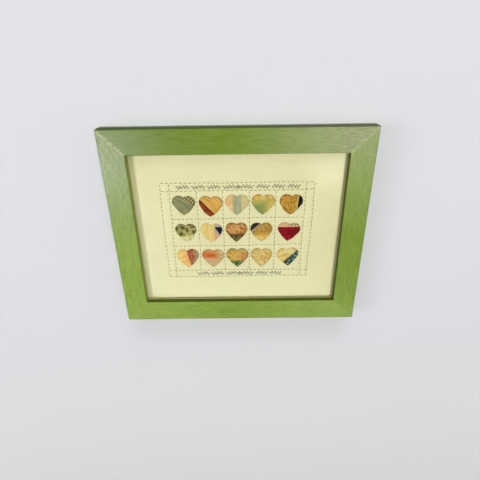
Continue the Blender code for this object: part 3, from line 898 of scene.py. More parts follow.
@dataclass
class QuiltGround:
    """The cream ground cloth: wadded cotton that sinks along each sewn line and lies on the board."""

    half_width: float = 126.0
    half_height: float = 100.5
    under_z: float = 4.22
    face_z: float = 5.42
    # How high or deep each form of the face is and how far it reaches: the wadding's swell, the channel
    # of a sewn line, the bend by each stitch, the rise of the margin, a hem's pull and the cut edge
    swell: Pair = (0.16, 5.0)
    channel: Pair = (0.42, 1.15)
    bend: Pair = (0.09, 2.4)
    margin: Pair = (1.2, 16.0)
    hem_pull: Pair = (0.16, 0.9)
    edge_fall: Pair = (0.5, 0.9)
    # The uneven field's waves: how high each one is, how far it reaches and its seed
    uneven: tuple[Triple, ...] = ((0.035, 31.0, 2.0), (0.012, 7.0, 5.0))
    # The grid's spacing inside the border and past it
    fine_mm: float = 0.86
    coarse_mm: float = 2.1
    # Where each sewn line starts and ends across: upright ones from their foot, the others from the left
    columns: tuple[Pair, ...] = (
        (-91.3, -91.6), (-81.5, -81.1), (-49.5, -49.2), (-18.3, -18.7),
        (12.9, 12.8), (43.8, 44.4), (77.5, 79.2), (86.8, 89.3),
    )
    rows: tuple[Pair, ...] = (
        (-66.5, -65.7), (-56.5, -56.8), (-21.5, -20.2),
        (15.4, 16.8), (51.2, 51.6), (60.8, 60.9),
    )
    outlines: list[np.ndarray] = field(default_factory=list)

    def lines(self) -> list[SewnLine]:
        """Every sewn line; the cells' own lines end at the inner border."""
        found = []
        for upright, places, crossing in (
            (True, self.columns, self.rows), (False, self.rows, self.columns),
        ):
            for number, (start, end) in enumerate(places):
                inner = 1 < number < len(places) - 2
                ends = (crossing[1], crossing[-2]) if inner else (crossing[0], crossing[-1])
                low, high = (sum(pair) / 2 for pair in ends)
                found.append(SewnLine(upright, start, end, low, high, seed=number + 10.0 * upright))
        return found

    def height(self, x: np.ndarray, y: np.ndarray) -> np.ndarray:
        """The face's height at places on the cloth.

        It is a level, less a bell-shaped channel along the nearest sewn line, plus a bend that rises and
        falls with each stitch, wadding that swells away from the lines, and an uneven field. The hems
        pull it down beside each heart, and outside the sewn border it rises towards the glass.

        Args:
            x: places across.
            y: places up.

        Returns:
            Heights above the table.
        """
        nearest = np.full(x.shape, 1e9)
        pull = np.zeros(x.shape)
        for line in self.lines():
            along, across = line.split(x, y)
            away = np.hypot(across - line.course(along), outside(along, line.low, line.high))
            phase = TURN * (along - line.low) * line.count() / (line.high - line.low)
            bend = self.bend[0] * np.cos(phase) * bell(away, self.bend[1])
            pull = np.where(away < nearest, bend, pull)
            nearest = np.minimum(nearest, away)
        channel = self.channel[0] * bell(nearest, self.channel[1])
        swell = self.swell[0] * (1 - bell(nearest, self.swell[1]))
        uneven = sum(high * wander(x, y, reach, seed) for high, reach, seed in self.uneven)
        past_x = outside(x, self.columns[0][0], self.columns[-1][1])
        past_y = outside(y, self.rows[0][0], self.rows[-1][1])
        loose = self.margin[0] * (1 - bell(np.hypot(past_x, past_y), self.margin[1]))
        return self.face_z - channel + swell + pull + uneven + loose - self.beside_hearts(x, y)

    def beside_hearts(self, x: np.ndarray, y: np.ndarray) -> np.ndarray:
        """How far the hem stitches pull the cloth down beside each heart, by a bell of the distance."""
        pulled = np.zeros(x.shape)
        for outline in self.outlines:
            low, high = outline.min(0) - 4, outline.max(0) + 4
            near = (x > low[0]) & (x < high[0]) & (y > low[1]) & (y < high[1])
            if near.any():
                away = to_segments(np.stack([x[near], y[near]], axis=-1), outline[::4])
                pulled[near] = self.hem_pull[0] * bell(away, self.hem_pull[1])
        return pulled

    def build(self, material: bpy.types.Material) -> bpy.types.Object:
        """Makes the closed cloth: a fine face, a flat back on the board and a rim between them."""
        inner_x, inner_y = abs(self.columns[0][1]) + 4, abs(self.rows[0][0]) + 4
        axes = []
        for half, inner in ((self.half_width, inner_x), (self.half_height, inner_y)):
            middle = np.linspace(-inner, inner, round(2 * inner / self.fine_mm) + 1)
            edge = np.linspace(inner, half, round((half - inner) / self.coarse_mm) + 1)[1:]
            axes.append(np.concatenate([-edge[::-1], middle, edge]))
        x, y = np.meshgrid(*axes, indexing="xy")
        rim = np.minimum(self.half_width - abs(x), self.half_height - abs(y))
        face = self.height(x, y) - self.edge_fall[0] * bell(rim, self.edge_fall[1])
        back = np.full(x.shape, self.under_z)
        points = np.concatenate([np.stack([x, y, z], axis=-1).reshape(-1, 3) for z in (face, back)])
        quads = sheet_faces(*x.shape)
        number = np.arange(x.size).reshape(x.shape)
        edge = np.concatenate([number[0, :-1], number[:-1, -1], number[-1, :0:-1], number[:0:-1, 0]])
        after = np.roll(edge, -1)
        wall = np.stack([edge, edge + x.size, after + x.size, after], axis=-1)
        return add_piece("quilt_cloth", points, [quads, quads[:, ::-1] + x.size, wall], material)


@dataclass(frozen=True)
class Seam:
    """A seam across a heart: its normal's angle in degrees and its distance from the centre."""

    angle: float
    offset: float


@dataclass(frozen=True)
class Scrap:
    """A scrap of a heart: the seams that it lies inside of and past, and its cotton."""

    name: str
    slot: str
    cotton: Cotton
    before: tuple[Seam, ...] = ()
    past: tuple[Seam, ...] = ()


@dataclass(frozen=True)
class PatchHeart:
    """A heart pieced from scraps, its edges turned under and hemmed to the ground.

    Its turn is in degrees, and bows are how far its left and right straight sides stand out.
    """

    number: int
    x: float
    y: float
    width: float
    height: float
    turn: float
    scraps: tuple[Scrap, ...]
    bows: Pair = (0.4, 0.4)
    seam_gap: float = 0.07
    # How thick the pad is and how far in its turned edge is round, and the spacing along its outline
    rise: float = 0.95
    turned: float = 0.75
    step: float = 0.42
    # How high or deep its forms are and how far they reach: a seam's groove, the ridge over the seam
    # allowance, which lies ridge_in from the edge, the dip that leaves the middle swollen, and waves
    groove: Pair = (0.24, 0.45)
    ridge: Pair = (0.07, 1.1)
    ridge_in: float = 1.6
    dip: Pair = (0.05, 5.5)
    uneven: Pair = (0.035, 9.0)
    # How far under the cloth's face the pad's edge lies, and its flat underside
    sunk: float = 0.06
    buried: float = 0.3
    # Where the first rings lie between the scrap's edge and its middle, as shares of the way
    near_rings: tuple[float, ...] = (0, 0.004, 0.012, 0.025, 0.042, 0.062, 0.085, 0.115, 0.155)

    def outline(self) -> np.ndarray:
        """The heart about its centre, before its turn, anticlockwise from its tip.

        Two round lobes of radius 1 stand on a square that stands on its corner. The left and right
        straight sides bow out by a sine, and the whole is scaled to the heart's width and height.

        Returns:
            Points in x and y, in millimetres.
        """
        half, root = math.sqrt(0.5), math.sqrt(2)
        t = np.arange(14) / 14
        angle = np.arange(44) / 44 * math.pi
        left_bow, right_bow = (np.sin(math.pi * t) * bow * half for bow in self.bows)
        wide = self.width / (2 * (1 + half))
        tall = self.height / (1 + half + root)
        middle = (1 + half - root) / 2
        right = [root * t * wide + right_bow, (root * (t - 1) - middle) * tall - right_bow]
        left = [root * (t - 1) * wide - left_bow, (-root * t - middle) * tall - left_bow]
        lobes = [
            [(side * half + np.cos(turn)) * wide, (half + np.sin(turn) - middle) * tall]
            for side, turn in ((1, angle - math.pi / 4), (-1, angle + math.pi / 4))
        ]
        return np.concatenate([np.stack(part, axis=-1) for part in (right, *lobes, left)])

    def placed(self, points: np.ndarray) -> np.ndarray:
        """Points about the heart's centre, turned and moved to its place on the cloth."""
        turn = math.radians(self.turn)
        matrix = np.array([[math.cos(turn), math.sin(turn)], [-math.sin(turn), math.cos(turn)]])
        return points @ matrix + [self.x, self.y]

    def cut(self, scrap: Scrap) -> np.ndarray:
        """The scrap's outline: the heart's, kept on the right side of each of its seams.

        Where an edge crosses a seam, a point is added at the crossing.

        Args:
            scrap: which scrap.

        Returns:
            Points about the heart's centre, evenly spaced along the outline.
        """
        loop = self.outline()
        for seams, way in ((scrap.before, -1.0), (scrap.past, 1.0)):
            for seam in seams:
                turn = math.radians(seam.angle)
                depth = way * (loop @ [math.cos(turn), math.sin(turn)] - seam.offset) - self.seam_gap / 2
                after, next_depth = np.roll(loop, -1, axis=0), np.roll(depth, -1)
                crosses = (depth >= 0) != (next_depth >= 0)
                span = np.where(crosses, depth - next_depth, 1.0)
                meeting = loop + (after - loop) * (depth / span)[:, None]
                both = np.stack([loop, meeting], axis=1).reshape(-1, 2)
                loop = both[np.stack([depth >= 0, crosses], axis=1).reshape(-1)]
        return spaced(loop, self.step)

    def build(self, scrap: Scrap, ground: QuiltGround) -> bpy.types.Object:
        """Makes a scrap as a closed cloth pad.

        Rings shrink from the scrap's edge to its middle. The height is a quarter round over the heart's
        turned edge, less a fine groove along each seam, then a ridge over the seam allowance and a slow
        swell by distance from the scrap's edge.

        Args:
            scrap: which scrap.
            ground: the cloth that it lies on.

        Returns:
            The piece, which stands for the scrap's solid.
        """
        edge = self.cut(scrap)
        after = np.roll(edge, -1, axis=0)
        twist = edge[:, 0] * after[:, 1] - after[:, 0] * edge[:, 1]
        middle = ((edge + after) * twist[:, None]).sum(0) / (3 * twist.sum())
        inset = np.concatenate([self.near_rings, np.linspace(0.21, 0.94, 12)])
        rings = middle + (edge - middle)[None] * (1 - inset)[:, None, None]
        rings = np.concatenate([rings.reshape(-1, 2), middle[None]])
        depth = to_segments(rings, edge)
        inward = to_segments(rings, self.outline())
        spot = self.placed(rings)
        lift = np.sqrt(1 - (1 - np.minimum(inward / self.turned, 1)) ** 2)
        groove = self.groove[0] * bell(depth, self.groove[1])
        ridge = self.ridge[0] * bell(depth - self.ridge_in, self.ridge[1])
        swell = ridge - self.dip[0] * bell(depth, self.dip[1])
        waves = self.uneven[0] * wander(spot[:, 0], spot[:, 1], self.uneven[1], self.number)
        waves = waves * np.minimum(inward, 1)
        z = ground.face_z - self.sunk + (self.rise - groove) * lift + swell + waves
        points = np.concatenate([spot, z[:, None]], axis=1)
        count, last = len(edge), len(points) - 1
        under = np.concatenate([points[:count], points[last:]])
        under[:, 2] = ground.face_z - self.buried
        turn = np.arange(count)
        after = (turn + 1) % count
        inner, start, middle_top = last - count, last + 1, np.full(count, last)
        faces = [
            sheet_faces(len(inset), count, wrap=True),
            np.stack([inner + turn, inner + after, middle_top], axis=-1),
            np.stack([start + turn, start + after, after, turn], axis=-1),
            np.stack([start + after, start + turn, middle_top + start + count - last], axis=-1),
        ]
        name = f"patch_{self.number:02d}_{scrap.name}"
        cotton = replace(scrap.cotton, centre=(self.x, self.y)).make()
        uv = np.concatenate([np.stack([inward, depth], axis=-1), np.zeros(under[:, :2].shape)])
        piece = add_piece(name, np.concatenate([points, under]), faces, cotton, uv, uv_name="inset")
        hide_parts(f"heart_{self.number:02d}_{scrap.name}")
        return piece


@dataclass
class Needlework:
    """All the hand sewing: the quilting, the hems round the hearts and two leafy vines."""

    ground: QuiltGround
    hearts: tuple[PatchHeart, ...]
    quilting_radius: float = 0.3
    quilting_lift: float = 0.48
    # How far a hand's stitches stray: along the line, across it, and as a share of their length
    stray: Triple = (0.12, 0.1, 0.12)
    # A vine's thread, the rise of its stem stitches and their pitch, and its wave
    vine_radius: float = 0.22
    stem_lift: float = 0.34
    stem_pitch: float = 1.2
    wave: float = 18.2
    swing: float = 0.6
    # The bare run between one sprig of a vine and the next
    bare: float = 2.6
    # A leaf's length and how far its sides stand out, its lean in degrees, and the leaves' pitch
    leaf: Pair = (3.1, 0.42)
    lean: float = 46.0
    leaf_pitch: float = 3.7
    # How far out the stem starts past the flower's middle, and the petals' like sizes and number
    flower: float = 1.9
    petal: Pair = (2.4, 0.75)
    petals: int = 6
    hem_radius: float = 0.09
    hem_pitch: float = 2.4
    # A hem stitch's course: how far in from the heart's edge it is, and how high over the cloth
    hem_across: tuple[float, ...] = (-0.28, -0.1, 0.02, 0.22, 0.42, 0.55)
    hem_rise: tuple[float, ...] = (-0.25, 0.05, 0.34, 0.7, 0.88, 0.78)

    def arched(self, start: np.ndarray, end: np.ndarray, lift: float, rings: int = 7) -> np.ndarray:
        """Short stitches that rise from the cloth and go back into it.

        Along each stitch the height over the cloth is the lift times a half sine, less a dip that
        takes both ends under the face.

        Args:
            start: where each stitch begins, in x and y.
            end: where it ends.
            lift: how far its middle stands up.
            rings: points along each stitch.

        Returns:
            One path for each stitch.
        """
        t = np.linspace(0, 1, rings)
        flat = start[:, None] + (end - start)[:, None] * t[None, :, None]
        level = self.ground.height(flat[..., 0].mean(1), flat[..., 1].mean(1))[:, None]
        z = level + lift * np.sin(math.pi * t)[None] - 0.3
        return np.concatenate([flat, z[..., None]], axis=-1)

    def quilting(self) -> np.ndarray:
        """The running stitches of every sewn line; each stitch leans a little, as a hand's does."""
        starts, ends = [], []
        for line in self.ground.lines():
            middle = line.middles() + self.stray[0] * np.sin(line.middles() * 1.3 + line.seed)
            half = line.stitch / 2 * (1 + self.stray[2] * np.sin(middle * 2.1 + line.seed))
            lean = self.stray[1] * np.sin(middle * 0.9 + line.seed * 3)
            across = line.course(middle)
            low = np.stack([middle - half, across - lean], axis=-1)
            high = np.stack([middle + half, across + lean], axis=-1)
            order = [1, 0] if line.upright else [0, 1]
            starts.append(low[:, order])
            ends.append(high[:, order])
        return self.arched(np.concatenate(starts), np.concatenate(ends), self.quilting_lift)

    def hems(self) -> np.ndarray:
        """Tiny slip stitches across each heart's turned edge, from the ground to the fold's top."""
        paths = []
        for heart in self.hearts:
            spot = spaced(heart.outline(), self.hem_pitch, first=0.5)
            way = spaced(heart.outline(), self.hem_pitch, first=0.5, ahead=0.05) - spot
            way /= np.maximum(np.linalg.norm(way, axis=1, keepdims=True), 1e-9)
            inward = np.stack([-way[:, 1], way[:, 0]], axis=-1)
            slant = np.array(self.hem_across)[None, :, None] * (inward + 0.5 * way)[:, None]
            flat = heart.placed((spot[:, None] + slant).reshape(-1, 2)).reshape(len(spot), -1, 2)
            z = np.broadcast_to(self.ground.face_z + np.array(self.hem_rise), flat.shape[:2])
            paths.append(np.concatenate([flat, z[..., None]], axis=-1))
        return np.concatenate(paths)

    def loops(self, foot: np.ndarray, angle: np.ndarray, length: float, width: float) -> np.ndarray:
        """Detached chain stitches: teardrops of thread that lie on the cloth.

        Each is at length times half of one minus the cosine of the turn along it, and at width times
        the turn's sine and half sine to the side.

        Args:
            foot: where each loop's two ends go into the cloth, in x and y.
            angle: which way each one points.
            length: how long they are.
            width: how far their sides stand out.

        Returns:
            One path for each loop.
        """
        turn = np.linspace(0.12, TURN - 0.12, 15)
        along = length * (1 - np.cos(turn)) / 2
        aside = width * np.sin(turn) * np.sin(turn / 2)
        cos, sin = np.cos(angle)[:, None], np.sin(angle)[:, None]
        x = foot[:, :1] + along * cos - aside * sin
        y = foot[:, 1:] + along * sin + aside * cos
        lift = 0.16 * np.sin(turn / 2) - 0.04
        return np.stack([x, y, self.ground.height(x, y) + lift], axis=-1)

    def vine(self, sprigs: int, level: float) -> list[np.ndarray]:
        """A leafy vine that is the same to either side of the middle, with a flower there.

        Its sprigs follow a low sine wave, one to each wave, with a bare run between them. The stem is in
        stem stitch, and looped leaves lean out from it to one side and the other in turn. The flower has
        six petals.

        Args:
            sprigs: how many it has to either side of the middle.
            level: the height of its middle on the cloth.

        Returns:
            Arrays of stitch paths.
        """
        wave, pitch = self.wave, self.stem_pitch
        length, width = self.leaf

        def height(x: np.ndarray) -> np.ndarray:
            """The stem's height on the cloth at each place across."""
            return level + self.swing * np.sin(TURN * (x - self.flower) / wave)

        first = self.flower + wave * np.arange(sprigs)[:, None]
        run = (first + np.arange(0, wave - self.bare - pitch, pitch)).reshape(-1)
        stem = [np.stack([x, height(x)], axis=-1) for x in (run - 0.15, run + 1.35)]
        root = (first + np.arange(0.9, wave - self.bare - length * 0.7, self.leaf_pitch)).reshape(-1)
        lean = math.radians(self.lean) * (1 + 0.1 * np.sin(root * 2.7))
        made = []
        for mirror in ((1.0, 1.0), (-1.0, 1.0)):
            made.append(self.arched(stem[0] * mirror, stem[1] * mirror, self.stem_lift, rings=6))
            for side, shift in ((-1.0, 0.0), (1.0, self.leaf_pitch / 2)):
                foot = np.stack([root + shift, height(root + shift)], axis=-1)
                angle = side * lean if mirror[0] > 0 else math.pi - side * lean
                made.append(self.loops(foot * mirror, angle, length, width))
        eye = np.tile([0.0, level], (self.petals, 1))
        turn = TURN * (np.arange(self.petals) + 0.5) / self.petals
        made.append(self.loops(eye, turn, *self.petal))
        return made

    def build(self) -> list[bpy.types.Object]:
        """Makes the three sorts of sewing as pieces of their own."""
        olive = SewingThread("olive brown cotton thread", "#6a5c33", "#443818").make()
        brown = SewingThread("dark brown cotton thread", "#4c3f26", "#2b2213").make()
        cream = SewingThread("cream cotton thread", "#d9cf9f", "#a89e72").make()
        made = []
        points, faces, uv = strands(self.quilting(), self.quilting_radius)
        made.append(add_piece("quilting_stitches", points, faces, olive, uv))
        points, faces, uv = strands(self.hems(), self.hem_radius, sides=5)
        made.append(add_piece("hem_stitches", points, faces, cream, uv))
        for name, sprigs, level in (("top_vine", 4, 56.1), ("bottom_vine", 3, -61.4)):
            points, faces, uv = joined(self.vine(sprigs, level), self.vine_radius)
            made.append(add_piece(name, points, faces, brown, uv))
        return made


# The seams, close to where the solids have them
CHECK_SEAM = Seam(46, 6.8)
RUST_SEAM = Seam(225, 3.4)
BAND_LEFT = Seam(181, 4.7)
BAND_RIGHT = Seam(1, 5.1)
MEADOW_TOP = Seam(94, 4.8)
MEADOW_SIDE = Seam(-2, 5.4)
INK_SEAM = Seam(-3, 8.3)
LEAF_SEAM = Seam(-79, 3.5)
RIBBON_SEAM = Seam(3, 4.8)
PLUM_SEAM = Seam(35, 8.0)
RUSSET_SEAM = Seam(-89, 2.1)
NIGHT_SEAM = Seam(131, 10.0)
MIST_SEAM = Seam(131, 7.0)
HONEY_SEAM = Seam(-86, 3.1)
CREAM_SEAM = Seam(94, 6.6)
POSY_SEAM = Seam(11, 0.9)
CORAL_BASE = Seam(-94, -0.1)
CORAL_SIDE = Seam(-1, 6.4)
FERN_SEAM = Seam(-90, 3.9)
AMBER_SEAM = Seam(-4, 2.3)
STAR_SEAM = Seam(-49, 1.1)

# The cottons, named for how they look

SAGE = Cotton(
    "sage quilting cotton", "#7c7c58", Print.SLUB, "#9f9a6c", repeat_mm=1.6, angle=-38, rim_mm=2.6,
)
BROWN_CHECK = Cotton("brown check cotton", "#c6b37d", Print.CHECK, "#2a1a08", repeat_mm=3.3, angle=48)
GOLD = Cotton(
    "golden tan cotton", "#d09943", Print.SLUB, "#e4b76c", repeat_mm=2.4, angle=-50, rim_mm=2.2,
    washes=(Wash(90, 12.0, 4.0, 3.0, "#ca9c51", 0.5),),
)
RUST = Cotton(
    "rust red cotton", "#782b04", Print.SLUB, "#a94f0a", repeat_mm=1.5, angle=-45,
    washes=(Wash(225, 3.6, 1.6, 1.2, "#441603", 0.8),),
)
PEACH = Cotton(
    "peach cotton", "#e6ca90", Print.MOTTLED, "#e0ae7e", "#e6e5a0", repeat_mm=4.4, edge=0.84,
    washes=(Wash(110, 8.0, 4.5, 3.5, "#e5a571", 0.7),),
)
GREY_BLUE = Cotton(
    "grey blue cotton", "#9fa280", Print.SLUB, "#bbb28c", repeat_mm=1.6, angle=90, edge=0.84, seam=0.95,
)
STRAW = Cotton("straw cotton", "#ddcb95", Print.CHECK, "#cbb27c", repeat_mm=2.6, angle=4, edge=0.84)
MEADOW_GOLD = Cotton(
    "soft gold cotton", "#dab860", Print.MOTTLED, "#bc8e42", "#ead093", repeat_mm=3.4, seam=1.0,
    washes=(Wash(94, 4.8, 2.4, 2.3, "#b7ab5f", 0.95),),
)
MEADOW = Cotton(
    "meadow green cotton", "#82925a", Print.MOTTLED, "#98944e", "#6b8566", repeat_mm=4.6, seam=1.0,
    washes=(Wash(94, 4.8, 3.4, 3.3, "#b7ab5f", 0.95), Wash(-2, 5.4, 3.2, 3.1, "#bcaa5c", 0.95)),
)
SIDE_GOLD = Cotton(
    "warm gold cotton", "#d7ba6b", Print.MOTTLED, "#cc9b45", "#e0d28c", repeat_mm=3.0, seam=1.0,
    washes=(Wash(0, 9.0, 4.0, 3.0, "#d5ab5e", 0.5), Wash(-2, 5.4, 1.7, 1.6, "#bcaa5c", 0.95)),
)
OCHRE = Cotton(
    "ochre mottled cotton", "#bd8a32", Print.MOTTLED, "#a06c1d", "#d5a850", repeat_mm=2.1, rim_mm=3.0,
    washes=(Wash(-7, 7.4, 1.3, 0.7, "#cbb26e", 0.85),),
)
INK = Cotton("black cotton sateen", "#0a0502", Print.SLUB, "#1b0f06", repeat_mm=1.3, sheen=0.02)
LEAFY = Cotton(
    "olive leaf print cotton", "#b2a66a", Print.LEAF, "#3d320b", "#5e511c", repeat_mm=7.4, angle=30,
)
LIME = Cotton("pale lime cotton", "#d6c78a", Print.MOTTLED, "#c5b66e", "#e5d9ab", repeat_mm=3.6)
CREAM_GOLD = Cotton(
    "cream and gold striped cotton", "#e6c57d", Print.STRIPE, "#e9b976", "#e3cd8c", repeat_mm=8.5,
    angle=2, edge=0.84, seam=1.0,
    washes=(Wash(180, 12.5, 2.6, 1.5, "#e1d18e", 0.7),),
)
ROSE = Cotton(
    "rose striped cotton", "#dc9a81", Print.STRIPE, "#eaab6d", "#c9a0a0", repeat_mm=3.6, angle=-12,
    edge=0.84,
    washes=(Wash(35, 6.6, 1.1, 0.7, "#b8a2a8", 0.9),),
)
PLUM = Cotton(
    "plum navy cotton", "#0d0b1c", Print.SLUB, "#1f1b3c", repeat_mm=1.4, angle=30,
    washes=(Wash(90, 12.4, 3.6, 0.7, "#d0bfae", 0.9),),
)
RUSSET = Cotton(
    "russet mottled cotton", "#d49757", Print.MOTTLED, "#a1602d", "#e8b883", repeat_mm=3.0, rim_mm=3.8,
    washes=(Wash(90, -1.9, 1.3, 0.8, "#895e34", 0.75), Wash(90, 11.8, 2.2, 1.4, "#a78044", 0.6)),
)
MOSS = Cotton(
    "moss brown cotton", "#735f34", Print.MOTTLED, "#39280e", "#a6915b", repeat_mm=2.2,
    washes=(Wash(90, -4.0, 1.2, 0.8, "#513718", 0.7),),
)
NIGHT = Cotton("night navy cotton", "#1a1610", Print.SLUB, "#3a352b", repeat_mm=1.4, angle=40, sheen=0.04)
MIST = Cotton(
    "misty striped cotton", "#b29772", Print.STRIPE, "#958167", "#bd9f76", repeat_mm=2.2, angle=128,
)
HONEY = Cotton(
    "honey cotton", "#bd8d3d", Print.MOTTLED, "#9b6a24", "#cfac62", repeat_mm=2.8, rim_mm=3.0, seam=1.0,
    washes=(Wash(94, -3.1, 1.8, 1.7, "#cb9e49", 0.95), Wash(60, 9.5, 3.5, 2.5, "#b68d4b", 0.5)),
)
PALE_HONEY = Cotton(
    "pale honey cotton", "#ddb55e", Print.MOTTLED, "#d2a54b", "#e4c37e", repeat_mm=3.3, edge=0.8,
    seam=1.0,
    washes=(Wash(94, -3.1, 1.3, 1.2, "#cb9e49", 0.95),),
)
CREAM_SPRIG = Cotton(
    "cream sprigged cotton", "#dcb68c", Print.FLOWER, "#161d12", "#2a2c1a", repeat_mm=3.1,
    washes=(Wash(0, -8.8, 7.6, 1.0, "#dcb186", 0.95),),
)
CRIMSON = Cotton(
    "crimson cotton", "#900513", Print.MOTTLED, "#630308", "#b30635", repeat_mm=3.4, sheen=0.04,
)
YELLOW_PEACH = Cotton(
    "yellow peach cotton", "#ebc475", Print.MOTTLED, "#e5a06e", "#eddb8b", repeat_mm=4.2, edge=0.84,
    washes=(Wash(10, -1.6, 2.2, 1.6, "#edb27b", 0.7),),
)
ROSES = Cotton(
    "red floral cotton", "#ab8660", Print.FLOWER, "#b02c1e", "#3b1c10", repeat_mm=4.2,
    washes=(Wash(0, 2.0, 3.2, 2.2, "#ab3424", 0.62), Wash(0, 12.0, 2.4, 1.5, "#b69c66", 0.6)),
)
CORAL = Cotton(
    "coral cotton", "#d0662e", Print.MOTTLED, "#c65a25", "#d88a58", repeat_mm=4.8, edge=0.8, seam=1.0,
    washes=(
        Wash(90, 12.4, 2.8, 2.4, "#cb9c61", 0.9),
        Wash(0, 6.4, 2.4, 2.3, "#ca9e6a", 0.95),
        Wash(86, -0.1, 1.6, 1.5, "#cf9870", 0.95),
    ),
)
PALE_SAGE = Cotton(
    "pale sage cotton", "#d1b581", Print.MOTTLED, "#b39a69", "#eecea4", repeat_mm=3.5, edge=0.8, seam=1.0,
    washes=(Wash(0, 6.4, 1.7, 1.6, "#ca9e6a", 0.95),),
)
BEIGE_STRIPE = Cotton(
    "beige striped cotton", "#d4b181", Print.STRIPE, "#bda575", "#cbaa7f", repeat_mm=3.4, angle=82,
    edge=0.8, seam=1.0,
    washes=(Wash(86, -0.1, 2.2, 2.1, "#d49f76", 0.95),),
)
AMBER = Cotton(
    "amber mottled cotton", "#d9aa52", Print.MOTTLED, "#a38139", "#e6bf78", repeat_mm=3.0, rim_mm=2.6,
    seam=1.0,
    washes=(Wash(-4, 2.3, 2.2, 2.1, "#d2a455", 0.9), Wash(90, 11.5, 2.4, 1.6, "#ad9959", 0.7)),
)
TANGERINE = Cotton(
    "tangerine mottled cotton", "#cf9858", Print.MOTTLED, "#c2734a", "#d6b06a", repeat_mm=3.6, rim_mm=2.2,
    seam=1.0,
    washes=(Wash(-4, 2.3, 2.2, 2.1, "#d2a455", 0.9), Wash(90, 11.5, 2.4, 1.6, "#afb26e", 0.6)),
)
FERN = Cotton("fern green cotton", "#537340", Print.MOTTLED, "#31512c", "#a09e66", repeat_mm=2.4)
TAN = Cotton(
    "mottled tan cotton", "#dcbb75", Print.MOTTLED, "#c89f58", "#e6cf90", repeat_mm=3.2, edge=0.74,
    rim_mm=3.0,
)
BUTTER = Cotton(
    "butter cotton", "#e2c374", Print.MOTTLED, "#d7a652", "#e8d7a5", repeat_mm=4.4, edge=0.8,
    washes=(Wash(40, 8.2, 4.2, 2.0, "#e4cb99", 0.8),),
)
STARRY = Cotton(
    "navy star print cotton", "#314648", Print.STAR, "#b6bdae", "#e8e4ca", repeat_mm=5.4, share=0.9,
)

